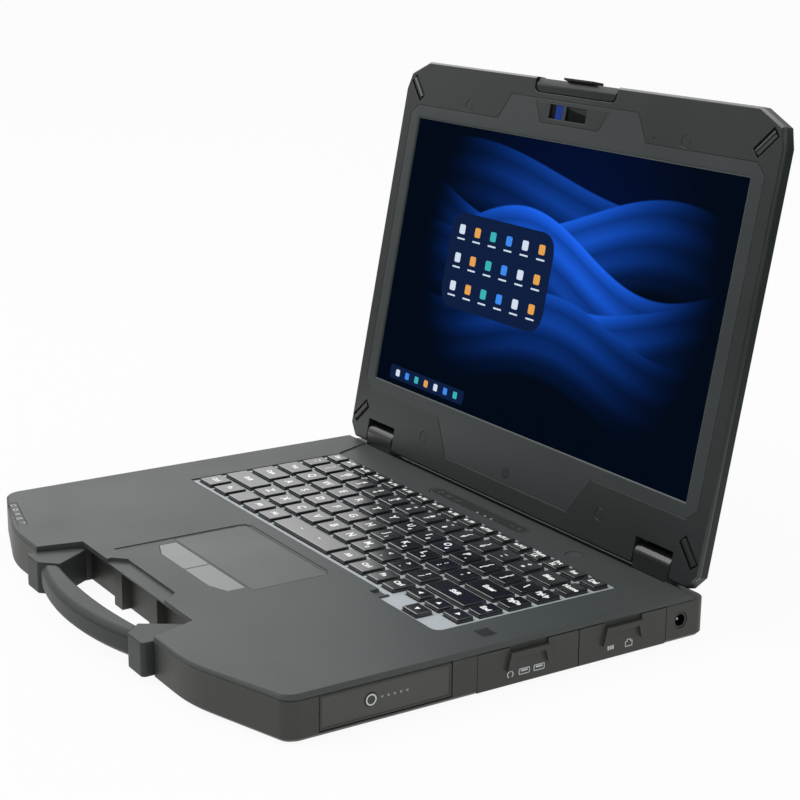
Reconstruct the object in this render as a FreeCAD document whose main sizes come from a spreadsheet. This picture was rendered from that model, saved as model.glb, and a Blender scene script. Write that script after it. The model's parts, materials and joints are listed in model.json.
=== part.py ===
"""Rugged 14-inch laptop computer with a front carry handle, open as on a desk.

The frame: X runs to the user's right, Y to the back, Z up, in millimetres. The origin is on the
desk under the middle of the whole open laptop. Pieces are drawn from the middle of the base and
then moved there. Those of the screen half are drawn flat, x to the right, y up the screen and z out
of it, from the hinge line, and then stood up.
"""
import FreeCAD, Part
import math
import os
import Sketcher

Vector = FreeCAD.Vector
Rotation = FreeCAD.Rotation

SIZES = {
    # Screen, which sets the size of the lid and of the base
    "screen_width": 309.4, "screen_height": 174, "screen_low": 37, "screen_face": 4.5,
    "panel_margin": 5, "panel_thickness": 3.2, "frame_thickness": 1, "frame_gap": 0.2,
    "frame_side": 10.3, "frame_below": 8.3, "frame_above": 8.4, "frame_corner_x": 7,
    "frame_corner_y": 6, "frame_bevel": 0.7, "bezel_side": 10, "bezel_above": 28.3, "bezel_chamfer": 1.2,
    # Base
    "foot_height": 2, "cover_thickness": 3, "deck_height": 26, "corner_radius": 7, "nose_inset": 63,
    "nose_shoulder_inset": 2.7, "nose_shoulder_back": 19.4, "nose_side_back": 26,
    "nose_slope_back": 27, "nose_drop": 0.8, "nose_radius": 90, "shoulder_radius": 8,
    "deck_edge_chamfer": 1.4, "seam_chamfer": 0.5, "case_edge_chamfer": 1.8, "wall": 2.5, "floor": 2.4,
    "trough_depth": 9.5, "trough_sink": 5, "rear_beam": 13, "nose_wall": 33, "seat_gap": 0.15,
    "slide_gap": 0.3,
    # Handle bay and handle
    "bay_mouth_half": 76, "bay_back_half": 69, "bay_depth": 25, "bay_undercut": 5,
    "bay_rib_half": 5, "bay_rib_place": 22, "catch_half": 36, "catch_back": 10, "catch_corner": 7,
    "catch_drop": 2, "handle_top_drop": 3.4, "grip_sink": 0.8, "grip_height": 14.5,
    "grip_inner_half": 50, "grip_inner_back": 3.4, "grip_inner_bulge": 3.6, "grip_bulge": 9,
    "grip_end_reach": 5, "grip_chamfer": 3, "grip_inner_chamfer": 1.5, "collar_width": 17,
    "collar_reach": 6.5, "collar_height": 18.5, "collar_radius": 2.5, "arm_tip_half": 64,
    # Keyboard; a share is the width of a key in letter keys
    "keys_behind": 38.05, "keys_aside": 2.5, "key_width": 19, "row_share": 14.79, "row_pitch": 18.5,
    "function_depth": 13.6, "grave_share": 0.811, "tab_share": 1.247, "caps_share": 1.453,
    "shift_share": 1.926, "space_share": 3.4, "narrow_share": 0.8, "arrow_share": 0.912,
    "side_share": 0.758, "arrow_depth": 13.6, "arrow_front_step": 7, "key_gap": 3.4,
    "key_thickness": 2.6, "key_rise": 1.2, "key_taper": 0.4, "well_gap": 0.35, "web_drop": 1,
    "plate_thickness": 2, "plate_lap": 2, "plate_inset": 0.1,
    "opening_side": 2.2, "opening_front": 2.2, "opening_back": 1, "opening_radius": 5,
    "step_notch_width": 9, "step_notch_depth": 6, "step_notch_drop": 1.5,
    # Touchpad and deck controls
    "pad_zone_half": 48.5, "pad_zone_gap": 9.15, "pad_zone_corner": 5, "pad_zone_drop": 0.5,
    "pad_half": 47, "pad_inset": 2, "pad_button_gap": 1.4, "pad_thickness": 2.1,
    "button_half": 41.5, "button_ahead": 19.5, "button_depth": 15.6, "button_corner_x": 13,
    "button_corner_y": 5, "button_split": 0.6, "button_thickness": 1.8, "reader_aside": 0.9,
    "reader_back": 11.15, "reader_side": 8.6, "reader_depth": 1, "reader_thickness": 0.6,
    "zone_drop": 0.8, "zone_front_inset": 33.5, "zone_back_inset": 21, "strip_half": 48,
    "strip_behind": 19.1, "strip_width": 11.4, "strip_radius": 5, "strip_depth": 0.8,
    "power_x": 92, "power_behind": 24, "power_radius": 5.2, "power_thickness": 2.2,
    "status_length": 42, "status_width": 5, "status_aside": 7.7, "status_back": 2.2, "status_angle": -13,
    # Right and left sides
    "battery_ahead": 3.5, "battery_length": 86, "battery_chamfer": 0.8,
    "gauge_back": 28.5, "gauge_z": 14.3, "gauge_radius": 3.3, "gauge_travel": 0.6, "gauge_depth": 3,
    "gauge_stand": 0.4, "lamp_half": 0.6, "lamp_pitch": 3.55, "lamp_offset": 6.4, "lamp_depth": 1.5,
    "slider_inset": 59, "slider_behind": 7, "slider_length": 12, "slider_width": 20, "slider_travel": 5,
    "side_panel_width": 14.5, "doors_behind": 28, "rear_door_width": 58, "front_door_width": 63,
    "left_door_behind": 103.5, "left_door_width": 62, "door_thickness": 2.4, "door_gap": 0.25,
    "door_roll": 1.2, "tab_half": 12, "tab_bar": 3, "tab_leg_width": 3.6, "tab_drop": 9.5,
    "tab_splay": 2.4, "tab_stand": 2, "tab_below_top": 2.4, "tab_hollow": 1.4,
    "port_depth": 22, "port_wall": 1.2, "socket_width": 13.1, "socket_height": 5.8,
    "socket_depth": 14, "socket_pitch": 19, "lan_width": 12, "lan_height": 9, "port_z": 13.2,
    "inlet_behind": 18.3, "inlet_z": 13.5, "inlet_radius": 4.6, "inlet_bore": 3.2, "inlet_pin": 0.9,
    "inlet_length": 13, "vent_pitch": 6, "vent_slot": 3, "vent_above": 2.6, "vent_below": 4,
    # Inside
    "board_gap": 8.3, "fan_board_gap": 13, "board_behind": 33.5, "board_depth": 122, "board_z": 8,
    "board_thickness": 1.6, "standoff_half": 3.2, "fan_inset": 41, "fan_behind": 60.5,
    "fan_side": 52, "fan_height": 9, "fan_skin": 1, "rotor_radius": 21, "hub_radius": 9,
    "blade_length": 12.4, "blade_thickness": 1, "blade_gap": 0.8, "shaft_radius": 1.5,
    "shaft_gap": 0.05, "fin_length": 10, "pipe_half": 3, "pipe_height": 3, "chip_side": 34,
    "drive_length": 80, "drive_width": 22, "drive_height": 3.4,
    "memory_length": 69, "memory_width": 30, "memory_height": 3.4,
    # Underside
    "foot_length": 24, "foot_width": 10, "foot_side": 26, "foot_front": 46, "foot_rear": 22, "hatch_left": 70,
    "hatch_width": 120, "hatch_behind": 103.5, "hatch_depth": 86, "hatch_gap": 0.2,
    "intake_pitch": 7, "intake_slot": 3, "intake_length": 34,
    # Lid, from the hinge line
    "hinge_setback": 2.3, "hinge_rise": 6.5, "lid_lean": 10.8, "lid_face": 5.7, "lid_back": 6.8,
    "lid_seam": 3, "lid_tail": 6.7, "lid_corner_x": 22, "lid_corner_y": 8.5, "lid_cheek_x": 3.5,
    "lid_cheek_y": 10.5, "tail_corner_x": 7, "tail_corner_y": 8, "lid_bevel": 5.5, "lid_skin": 2,
    "plateau_margin": 32, "plateau_rise": 0.9, "tab_low_half": 62, "tab_low_top_half": 77.5,
    "tab_low": 5.3, "tab_high_half": 59, "tab_high_low_half": 70, "tab_high_rise": 15.9,
    "camera_high_half": 35, "camera_low_half": 27.2, "camera_lift": 2, "camera_height": 12.2,
    "window_lift": 2.8, "window_height": 8.4, "tab_window_left": -20.2, "tab_window_right": -7.6,
    "lens_window_left": -4.6, "lens_window_right": 14.4, "shutter_travel": 5.2,
    "shutter_thickness": 0.8, "shutter_tab": 6.6, "lens_x": 8.6, "lens_radius": 2, "lamp_x": 2.4,
    "camera_lamp_half": 0.6, "camera_depth": 2.4, "camera_clear": 0.15, "plug_radius": 3.5,
    "plug_depth": 1.2, "plug_sink": 0.1, "plug_high_x": 101.8, "plug_high_lift": 4.5,
    "plug_low_x": 89.5, "plug_low_y": 12, "bumper_length": 16, "bumper_radius": 2.4,
    "bumper_proud": 0.6, "bumper_top_inset": 13.5, "bumper_top_below": 17.7, "bumper_low_inset": 10.5,
    "bumper_low_y": 11.8, "bumper_gap": 0.9, "latch_half": 37, "latch_notch_half": 38.2,
    "latch_foot": 8.6, "latch_corner": 4, "latch_inset": 0.6, "latch_front": 5.3, "latch_face": 3.4,
    "latch_lip": 3.6, "latch_rear": 2.6, "latch_notch_rear": 4.9, "latch_tab_half": 13, "latch_tab_x": 2,
    "latch_tab_rise": 1.8, "latch_tab_thickness": 1.2, "latch_tab_reach": 1, "latch_pivot_below": 3.4,
    "latch_pivot_z": 0.4, "latch_pin_radius": 1.2,
    # Hinges
    "hinge_inset": 37, "hinge_half": 14.7, "hinge_notch_gap": 0.7, "hinge_notch_top": 9,
    "hinge_slot_top": 4.7,
    "barrel_radius": 6, "hinge_foot_front": 7, "hinge_foot_back": 2.3, "pin_radius": 2.5,
    "pin_gap": 0.05, "pin_reach": 7,
}


class Size:
    """A length that carries its number and the sheet formula that gives it."""

    def __init__(self, value, formula):
        self.value = value
        self.formula = formula

    def __add__(self, other):
        other = as_size(other)
        return Size(self.value + other.value, f"({self.formula} + {other.formula})")

    def __radd__(self, other):
        return as_size(other) + self

    def __sub__(self, other):
        other = as_size(other)
        return Size(self.value - other.value, f"({self.formula} - {other.formula})")

    def __rsub__(self, other):
        return as_size(other) - self

    def __mul__(self, factor):
        factor = as_size(factor)
        return Size(self.value * factor.value, f"({self.formula} * {factor.formula})")

    def __rmul__(self, factor):
        return as_size(factor) * self

    def __truediv__(self, other):
        other = as_size(other)
        return Size(self.value / other.value, f"({self.formula} / {other.formula})")

    def __neg__(self):
        return Size(-self.value, f"(0 - {self.formula})")


def as_size(number):
    return number if isinstance(number, Size) else Size(number, repr(number))


class Sheet:
    """The driving sizes, each read as an attribute."""


doc = FreeCAD.newDocument("rugged_laptop")
sheet = doc.addObject("Spreadsheet::Sheet", "sizes")
mm = Sheet()
for line, (name, number) in enumerate(SIZES.items(), 1):
    sheet.set(f"A{line}", name)
    sheet.set(f"B{line}", str(number))
    sheet.setAlias(f"B{line}", name)
    setattr(mm, name, Size(number, f"sizes.{name}"))
doc.recompute()

pieces = []
AXIS_TURN = {
    "x": Rotation(Vector(0, 1, 0), 90),
    "y": Rotation(Vector(1, 0, 0), -90),
    "z": Rotation(),
}


def bind(thing, prop, size):
    thing.setExpression(prop, as_size(size).formula)


def move_to(thing, x, y, z):
    for axis, size in zip("xyz", (x, y, z)):
        bind(thing, f"Placement.Base.{axis}", size)


def box(name, x, y, z):
    """A block between a low and a high value on each axis."""
    block = doc.addObject("Part::Box", name)
    for prop, (low, high) in zip(("Length", "Width", "Height"), (x, y, z)):
        bind(block, prop, as_size(high) - low)
    move_to(block, x[0], y[0], z[0])
    return block


def rod(name, axis, centre, radius, low, high):
    """A cylinder along one axis; the centre gives the two other coordinates in X, Y, Z order."""
    cylinder = doc.addObject("Part::Cylinder", name)
    cylinder.Placement = FreeCAD.Placement(Vector(), AXIS_TURN[axis])
    bind(cylinder, "Radius", radius)
    bind(cylinder, "Height", as_size(high) - low)
    place = list(centre)
    place.insert("xyz".index(axis), low)
    move_to(cylinder, *place)
    return cylinder


def wedge_cap(name, x, y, z, taper):
    """A block whose four sides lean in towards its top."""
    cap = doc.addObject("Part::Wedge", name)
    cap.Placement = FreeCAD.Placement(Vector(), Rotation(Vector(1, 0, 0), 90))
    across = as_size(x[1]) - x[0]
    deep = as_size(y[1]) - y[0]
    limits = {
        "Xmin": 0, "Ymin": 0, "Zmin": 0, "X2min": taper, "Z2min": taper,
        "Xmax": across, "Ymax": as_size(z[1]) - z[0], "Zmax": deep,
        "X2max": across - taper, "Z2max": deep - taper,
    }
    for prop, size in limits.items():
        bind(cap, prop, size)
    move_to(cap, x[0], y[1], z[0])
    return cap


def prism(name, plane, outline, low, high, bulges=None):
    """A straight-sided outline drawn on a plane and raised from low to high along its normal.

    A bulge, given for the edge that starts at a point, turns that edge into an arc that stands
    that far outside its chord.
    """
    body = doc.addObject("PartDesign::Body", name)
    sketch = body.newObject("Sketcher::SketchObject", f"{name}_outline")
    origin_plane = [part for part in body.Origin.OriginFeatures if part.Role == plane][0]
    sketch.AttachmentSupport = [(origin_plane, "")]
    sketch.MapMode = "FlatFace"
    start = -as_size(high) if plane == "XZ_Plane" else as_size(low)
    bind(sketch, "AttachmentOffset.Base.z", start)
    bulges = bulges or {}
    flat = [Vector(as_size(u).value, as_size(v).value, 0) for u, v in outline]
    count = len(flat)
    ends = []
    for index, corner in enumerate(flat):
        after = flat[(index + 1) % count]
        bulge = as_size(bulges.get(index, 0)).value
        if bulge:
            sketch.addGeometry(bulged_arc(corner, after, bulge))
        else:
            sketch.addGeometry(Part.LineSegment(corner, after))
        ends.append((2, 1) if bulge < 0 else (1, 2))
    for index in range(count):
        after = (index + 1) % count
        meeting = (index, ends[index][1], after, ends[after][0])
        sketch.addConstraint(Sketcher.Constraint("Coincident", *meeting))
    for index, point in enumerate(outline):
        hold_point(sketch, index, ends[index][0], point)
    for index, bulge in bulges.items():
        hold_radius(sketch, index, outline[index], outline[(index + 1) % count], bulge)
    pad = body.newObject("PartDesign::Pad", f"{name}_pad")
    pad.Profile = sketch
    bind(pad, "Length", as_size(high) - low)
    return body


def bulged_arc(corner, after, bulge):
    """The arc over one chord, drawn anticlockwise whichever side of the chord it stands on."""
    chord = after - corner
    rise = abs(bulge)
    radius = (chord.Length ** 2 / 4 + rise ** 2) / (2 * rise)
    outward = Vector(chord.y, -chord.x, 0).normalize()
    inset = (rise - radius) if bulge > 0 else (radius - rise)
    centre = (corner + after) / 2 + outward * inset
    first, last = (corner, after) if bulge > 0 else (after, corner)
    angles = [math.atan2(point.y - centre.y, point.x - centre.x) for point in (first, last)]
    if angles[1] < angles[0]:
        angles[1] += 2 * math.pi
    return Part.ArcOfCircle(Part.Circle(centre, Vector(0, 0, 1), radius), *angles)


def hold_point(sketch, edge, end, point):
    """Holds one end of an edge at its two distances from the sketch origin."""
    for kind, axis_line, size in (("DistanceX", -2, point[0]), ("DistanceY", -1, point[1])):
        size = as_size(size)
        if abs(size.value) < 1e-9:
            sketch.addConstraint(Sketcher.Constraint("PointOnObject", edge, end, axis_line))
        else:
            index = sketch.addConstraint(Sketcher.Constraint(kind, -1, 1, edge, end, size.value))
            bind(sketch, f"Constraints[{index}]", size)


def hold_radius(sketch, edge, start, end, bulge):
    """Ties the radius of an arc over a chord along X to how far the arc bulges."""
    bulge = as_size(bulge)
    rise = bulge if bulge.value > 0 else -bulge
    chord = as_size(end[0]) - start[0]
    radius = (chord * chord / 4 + rise * rise) / (rise * 2)
    index = sketch.addConstraint(Sketcher.Constraint("Radius", edge, radius.value))
    bind(sketch, f"Constraints[{index}]", radius)


def soften(body, kind, size, wanted):
    """Rounds (Fillet) or bevels (Chamfer) the edges of a body that the test picks."""
    doc.recompute()
    names = [f"Edge{i}" for i, edge in enumerate(body.Shape.Edges, 1) if wanted(edge)]
    solid = body.Tip
    feature = body.newObject(f"PartDesign::{kind}", f"{body.Name}_{kind.lower()}")
    feature.Base = (solid, names)
    bind(feature, "Radius" if kind == "Fillet" else "Size", size)
    body.Tip = feature
    return body


def along(edge, axis):
    """Whether a straight edge runs along one axis."""
    box_of = edge.BoundBox
    lengths = {"x": box_of.XLength, "y": box_of.YLength, "z": box_of.ZLength}
    return all(length < 1e-6 for name, length in lengths.items() if name != axis)


def joined(name, shapes):
    if len(shapes) == 1:
        return shapes[0]
    fusion = doc.addObject("Part::MultiFuse", name)
    fusion.Shapes = shapes
    return fusion


def cut(name, base, tools):
    difference = doc.addObject("Part::Cut", name)
    difference.Base = base
    difference.Tool = joined(f"{name}_tools", tools)
    return difference


def group(name, shapes):
    compound = doc.addObject("Part::Compound", name)
    compound.Links = shapes
    return compound


def piece(label, shape):
    """Registers a finished piece of the base half under its name."""
    return register(label, shape, 0, 0)


def lid_piece(label, shape):
    """Registers a finished piece of the screen half and stands it up on the hinge line."""
    finished = register(label, shape, hinge_y, hinge_z)
    finished.Placement.Rotation = Rotation(Vector(1, 0, 0), 90 - mm.lid_lean.value)
    return finished


def register(label, shape, y, z):
    """Puts a piece where it belongs from the middle of the whole open laptop."""
    finished = group(f"{label}_placed", [shape])
    finished.Label = label
    move_to(finished, 0, y - origin_back, z)
    pieces.append(finished)
    return finished


# Screen half: the frame grows from the screen, the lid from the frame
frame_half = mm.screen_width / 2 + mm.frame_side
half_width = frame_half + mm.bezel_side
screen_high = mm.screen_low + mm.screen_height
frame_low = mm.screen_low - mm.frame_below
frame_high = screen_high + mm.frame_above
tab_high = frame_high + mm.tab_high_rise
camera_low = frame_high + mm.camera_lift
camera_high = camera_low + mm.camera_height
window_low = camera_low + mm.window_lift
window_high = window_low + mm.window_height
lid_height = frame_high + mm.bezel_above
latch_pivot_y = lid_height - mm.latch_pivot_below

# Base: the closed lid reaches from the hinges to the back of the handle bay
base_depth = lid_height + mm.bay_depth + mm.hinge_setback
front = -base_depth / 2
rear = base_depth / 2
deck_rear = rear - mm.trough_depth
floor_top = mm.foot_height + mm.floor
seam_height = mm.deck_height - mm.cover_thickness
bay_back = front + mm.bay_depth
hinge_y = rear - mm.hinge_setback
hinge_z = mm.deck_height + mm.hinge_rise
hinge_middle = half_width - mm.hinge_inset
cavity_front = front + mm.nose_wall
cavity_back = rear - mm.rear_beam
inner_half = half_width - mm.wall
nose_front_half = half_width - mm.nose_inset
shoulder_half = half_width - mm.nose_shoulder_inset
shoulder_y = front + mm.nose_shoulder_back
status_x = mm.status_aside - (nose_front_half + shoulder_half) / 2
status_y = (front + shoulder_y) / 2 + mm.status_back
lean_sine = Size(math.sin(math.radians(SIZES["lid_lean"])), "sin(sizes.lid_lean)")
lean_cosine = Size(math.cos(math.radians(SIZES["lid_lean"])), "cos(sizes.lid_lean)")
lid_hindmost = hinge_y + (lid_height - mm.lid_bevel) * lean_sine + mm.lid_back * lean_cosine
grip_end_front = front - mm.grip_end_reach
grip_foremost = grip_end_front - mm.grip_bulge
origin_back = (lid_hindmost + grip_foremost) / 2

# Deck: the keyboard is set from the back, the buttons from the front, the pad fills what is left
keyboard_width = mm.key_width * mm.row_share
keys_left = mm.keys_aside - keyboard_width / 2
keys_right = mm.keys_aside + keyboard_width / 2
function_back = rear - mm.keys_behind
keys_front = function_back - mm.function_depth - mm.row_pitch * 5
arrow_unit = mm.key_width * mm.arrow_share
arrows_left = keys_right - arrow_unit * 3
plate_top = seam_height - mm.plate_inset
key_top = mm.deck_height + mm.key_rise
key_bottom = key_top - mm.key_thickness
pad_zone_back = keys_front - mm.opening_front - mm.pad_zone_gap
pad_back = pad_zone_back - mm.pad_inset
button_front = bay_back + mm.catch_back + mm.button_ahead
button_back = button_front + mm.button_depth
pad_front = button_back + mm.pad_button_gap
reader_x = (keys_right + mm.opening_side + half_width) / 2 - mm.reader_aside
reader_y = keys_front + mm.reader_back
zone_top = mm.deck_height - mm.zone_drop
strip_back = rear - mm.strip_behind
strip_front = strip_back - mm.strip_width
power_y = rear - mm.power_behind

# Sides and inside: the doors are set from the back, the battery fills the rest
door_back = rear - mm.doors_behind
door_split = door_back - mm.rear_door_width
door_front = door_split - mm.front_door_width
left_door_back = rear - mm.left_door_behind
left_door_front = left_door_back - mm.left_door_width
battery_back = door_front - mm.side_panel_width
battery_front = cavity_front + mm.battery_ahead
gauge_y = battery_front + mm.gauge_back
slider_x = half_width - mm.slider_inset
slider_y = battery_back + mm.slider_behind
inlet_y = rear - mm.inlet_behind
port_face = half_width - mm.door_thickness - mm.slide_gap
fan_x = mm.fan_inset - half_width
fan_y = rear - mm.fan_behind
fan_top = floor_top + mm.fan_height
vent_low = floor_top + mm.vent_above
vent_high = seam_height - mm.vent_below
vent_front = fan_y - mm.vent_pitch * 3.5 - mm.vent_slot / 2
board_left = fan_x + mm.fan_side / 2 + mm.fan_board_gap
board_right = port_face - mm.port_depth - mm.board_gap
board_back = rear - mm.board_behind
board_front = board_back - mm.board_depth
hatch_right = mm.hatch_width - mm.hatch_left
hatch_back = rear - mm.hatch_behind
hatch_front = hatch_back - mm.hatch_depth


def base_outline(back):
    """The plan of the base: square at the back, with a nose that narrows in two steps."""
    right = [
        (half_width, back),
        (half_width, front + mm.nose_side_back),
        (shoulder_half, shoulder_y),
        (nose_front_half, front),
    ]
    return right[::-1] + [(-x, y) for x, y in right]


def base_blank(name, back, low, high):
    """The base outline raised between two heights, with its nose corners rounded."""
    blank = prism(name, "XY_Plane", base_outline(back), low, high)
    soften(blank, "Fillet", mm.nose_radius, lambda edge: upright_at(edge, nose_front_half, front))
    soften(blank, "Fillet", mm.shoulder_radius,
           lambda edge: (upright_at(edge, shoulder_half, shoulder_y)
                         or upright_at(edge, half_width, front + mm.nose_side_back)))
    return blank


def upright_at(edge, x, y):
    """Whether an upright edge stands at a place, on either side of the middle."""
    centre = edge.BoundBox.Center
    return along(edge, "z") and abs(abs(centre.x) - x.value) < 0.1 and abs(centre.y - y.value) < 0.1


def bay_cutter(name, low, high):
    """The handle bay, open to the front and right through the base."""
    outline = [
        (-mm.bay_mouth_half, front),
        (-mm.bay_back_half, bay_back),
        (mm.bay_back_half, bay_back),
        (mm.bay_mouth_half, front),
        (mm.bay_mouth_half, front - mm.wall),
        (-mm.bay_mouth_half, front - mm.wall),
    ]
    return prism(name, "XY_Plane", outline, low, high)


def keyboard_slab(name, margin, low, high):
    """The keyboard opening: a rectangle with a step forward around the arrow keys."""
    left = keys_left - mm.opening_side - margin
    right = keys_right + mm.opening_side + margin
    back = function_back + mm.opening_back + margin
    near = keys_front - mm.opening_front - margin
    step = arrows_left - margin
    slab = prism(name, "XY_Plane", [
        (left, near), (step, near), (step, near - mm.arrow_front_step),
        (right, near - mm.arrow_front_step), (right, back), (left, back),
    ], low, high)
    corner = (right, near - mm.arrow_front_step)
    return soften(slab, "Fillet", mm.opening_radius, lambda edge: upright_at(edge, *corner))


def make_base_case():
    """The lower tub with its battery bay, door openings, inlet hole, vents and board posts."""
    tub = base_blank("case_blank", rear, mm.foot_height, seam_height)
    soften(tub, "Fillet", mm.corner_radius, lambda edge: upright_at(edge, half_width, rear))
    soften(tub, "Chamfer", mm.case_edge_chamfer, lambda edge: level_at(edge, mm.foot_height))
    soften(tub, "Chamfer", mm.seam_chamfer, lambda edge: level_at(edge, seam_height))
    over = seam_height + mm.wall
    outside = half_width + mm.wall
    undercut = bay_back + mm.bay_undercut
    trough_half = hinge_middle - mm.hinge_half - mm.wall
    tools = [
        box("case_cavity", (-inner_half, inner_half), (cavity_front, cavity_back), (floor_top, over)),
        bay_cutter("case_bay", 0, over),
        box("battery_mouth", (inner_half - mm.wall, outside), (battery_front, battery_back),
            (floor_top, over)),
        box("right_door_mouth", (port_face, outside), (door_front, door_back), (0, over)),
        box("left_door_mouth", (-outside, -port_face), (left_door_front, left_door_back), (0, over)),
        box("hinge_trough", (-trough_half, trough_half), (deck_rear, rear - mm.wall),
            (seam_height - mm.trough_sink, over)),
        rod("inlet_hole", "x", (inlet_y, mm.inlet_z), mm.inlet_radius, inner_half - mm.wall, outside),
        box("hatch_mouth", (-mm.hatch_left, hatch_right), (hatch_front, hatch_back), (0, over)),
        box("latch_mouth", (slider_x - mm.slider_width / 2, slider_x + mm.slider_width / 2),
            (slider_y - mm.slider_length / 2, slider_y + mm.slider_length / 2 + mm.slider_travel),
            (0, over)),
    ]
    rib_in = mm.bay_rib_place - mm.bay_rib_half
    rib_out = mm.bay_rib_place + mm.bay_rib_half
    pockets = ((-mm.bay_back_half, -rib_out), (-rib_in, rib_in), (rib_out, mm.bay_back_half))
    for index, limits in enumerate(pockets):
        tools.append(box(f"bay_pocket_{index}", limits, (bay_back - mm.wall, undercut), (0, over)))
    for index in range(8):
        start = vent_front + mm.vent_pitch * index
        tools.append(box(f"vent_{index}", (-outside, mm.wall - inner_half),
                         (start, start + mm.vent_slot), (vent_low, vent_high)))
    for index in range(6):
        start = fan_x - mm.intake_pitch * 2.5 + mm.intake_pitch * index
        tools.append(box(f"intake_{index}", (start - mm.intake_slot / 2, start + mm.intake_slot / 2),
                         (fan_y - mm.intake_length / 2, fan_y + mm.intake_length / 2), (0, over)))
    shell = cut("case_shell", tub, tools)
    posts = [
        box(f"standoff_{index}", (x - mm.standoff_half, x + mm.standoff_half),
            (y - mm.standoff_half, y + mm.standoff_half), (floor_top, mm.board_z))
        for index, (x, y) in enumerate(standoff_places())
    ]
    return piece("base_case", joined("case_whole", [shell] + posts))


def level_at(edge, z):
    """Whether an edge lies flat at a height."""
    limits = edge.BoundBox
    return abs(limits.ZMin - z.value) < 0.01 and abs(limits.ZMax - z.value) < 0.01


def standoff_places():
    inset = mm.standoff_half * 2
    return [
        (x, y)
        for x in (board_left + inset, board_right - inset)
        for y in (board_front + inset, board_back - inset)
    ]


def slope_cutter(name, sink):
    """What lies over the nose's slope, from the deck line down to the front edge."""
    start = front + mm.nose_slope_back
    top = mm.deck_height - sink
    drop = mm.nose_drop * (mm.nose_slope_back + mm.wall) / mm.nose_slope_back
    outline = [
        (start, top),
        (front - mm.wall, top - drop),
        (front - mm.wall, mm.deck_height + mm.wall),
        (start, mm.deck_height + mm.wall),
    ]
    return prism(name, "YZ_Plane", outline, -half_width - mm.wall, half_width + mm.wall)


def turned_status(name, margin):
    """The indicator window along the left cheek of the nose, turned to follow it."""
    long_half = mm.status_length / 2 + margin
    wide_half = mm.status_width / 2 + margin
    window = prism(name, "XY_Plane", [
        (-long_half, -wide_half), (long_half, -wide_half), (long_half, wide_half), (-long_half, wide_half),
    ], seam_height, mm.deck_height + mm.wall)
    window.Placement = FreeCAD.Placement(Vector(), Rotation(Vector(0, 0, 1), mm.status_angle.value))
    move_to(window, status_x, status_y, 0)
    return window


def button_outline(side, margin):
    """One touchpad button: a bar with its outer front corner cut off."""
    inner = mm.button_split / 2 - margin
    outer = mm.button_half + margin
    near = button_front - margin
    far = button_back + margin
    points = [
        (inner, near), (outer - mm.button_corner_x, near),
        (outer, near + mm.button_corner_y), (outer, far), (inner, far),
    ]
    return points if side > 0 else [(-x, y) for x, y in points][::-1]


def strip_slab(name, margin, low, high):
    """The touch strip behind the keyboard, with round ends."""
    half = mm.strip_half + margin
    near = strip_front - margin
    far = strip_back + margin
    slab = prism(name, "XY_Plane", [(-half, near), (half, near), (half, far), (-half, far)], low, high)
    return soften(slab, "Fillet", mm.strip_radius, lambda edge: along(edge, "z"))


def pad_zone(name, low, high):
    """The shallow tray around the touchpad, open towards the handle bay."""
    corner = mm.pad_zone_corner
    near = bay_back + mm.catch_back
    outline = [
        (-mm.pad_zone_half, near), (mm.pad_zone_half, near),
        (mm.pad_zone_half, pad_zone_back - corner), (mm.pad_zone_half - corner, pad_zone_back),
        (corner - mm.pad_zone_half, pad_zone_back), (-mm.pad_zone_half, pad_zone_back - corner),
    ]
    return prism(name, "XY_Plane", outline, low, high)


def control_zone(name, low, high):
    """The sunk strip of the deck between the keyboard and the hinges, wider at the back."""
    near = function_back + mm.opening_back
    far = deck_rear + mm.wall
    near_half = half_width - mm.zone_front_inset
    far_half = half_width - mm.zone_back_inset
    outline = [(-near_half, near), (near_half, near), (far_half, far), (-far_half, far)]
    return prism(name, "XY_Plane", outline, low, high)


def catch_recess(name):
    """The sunk ledge behind the handle bay that takes the lid latch."""
    near = bay_back - mm.wall
    far = bay_back + mm.catch_back
    corner = mm.catch_corner
    outline = [
        (-mm.catch_half, near), (mm.catch_half, near), (mm.catch_half, far - corner),
        (mm.catch_half - corner, far), (corner - mm.catch_half, far), (-mm.catch_half, far - corner),
    ]
    return prism(name, "XY_Plane", outline, mm.deck_height - mm.catch_drop, mm.deck_height + mm.wall)


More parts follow.
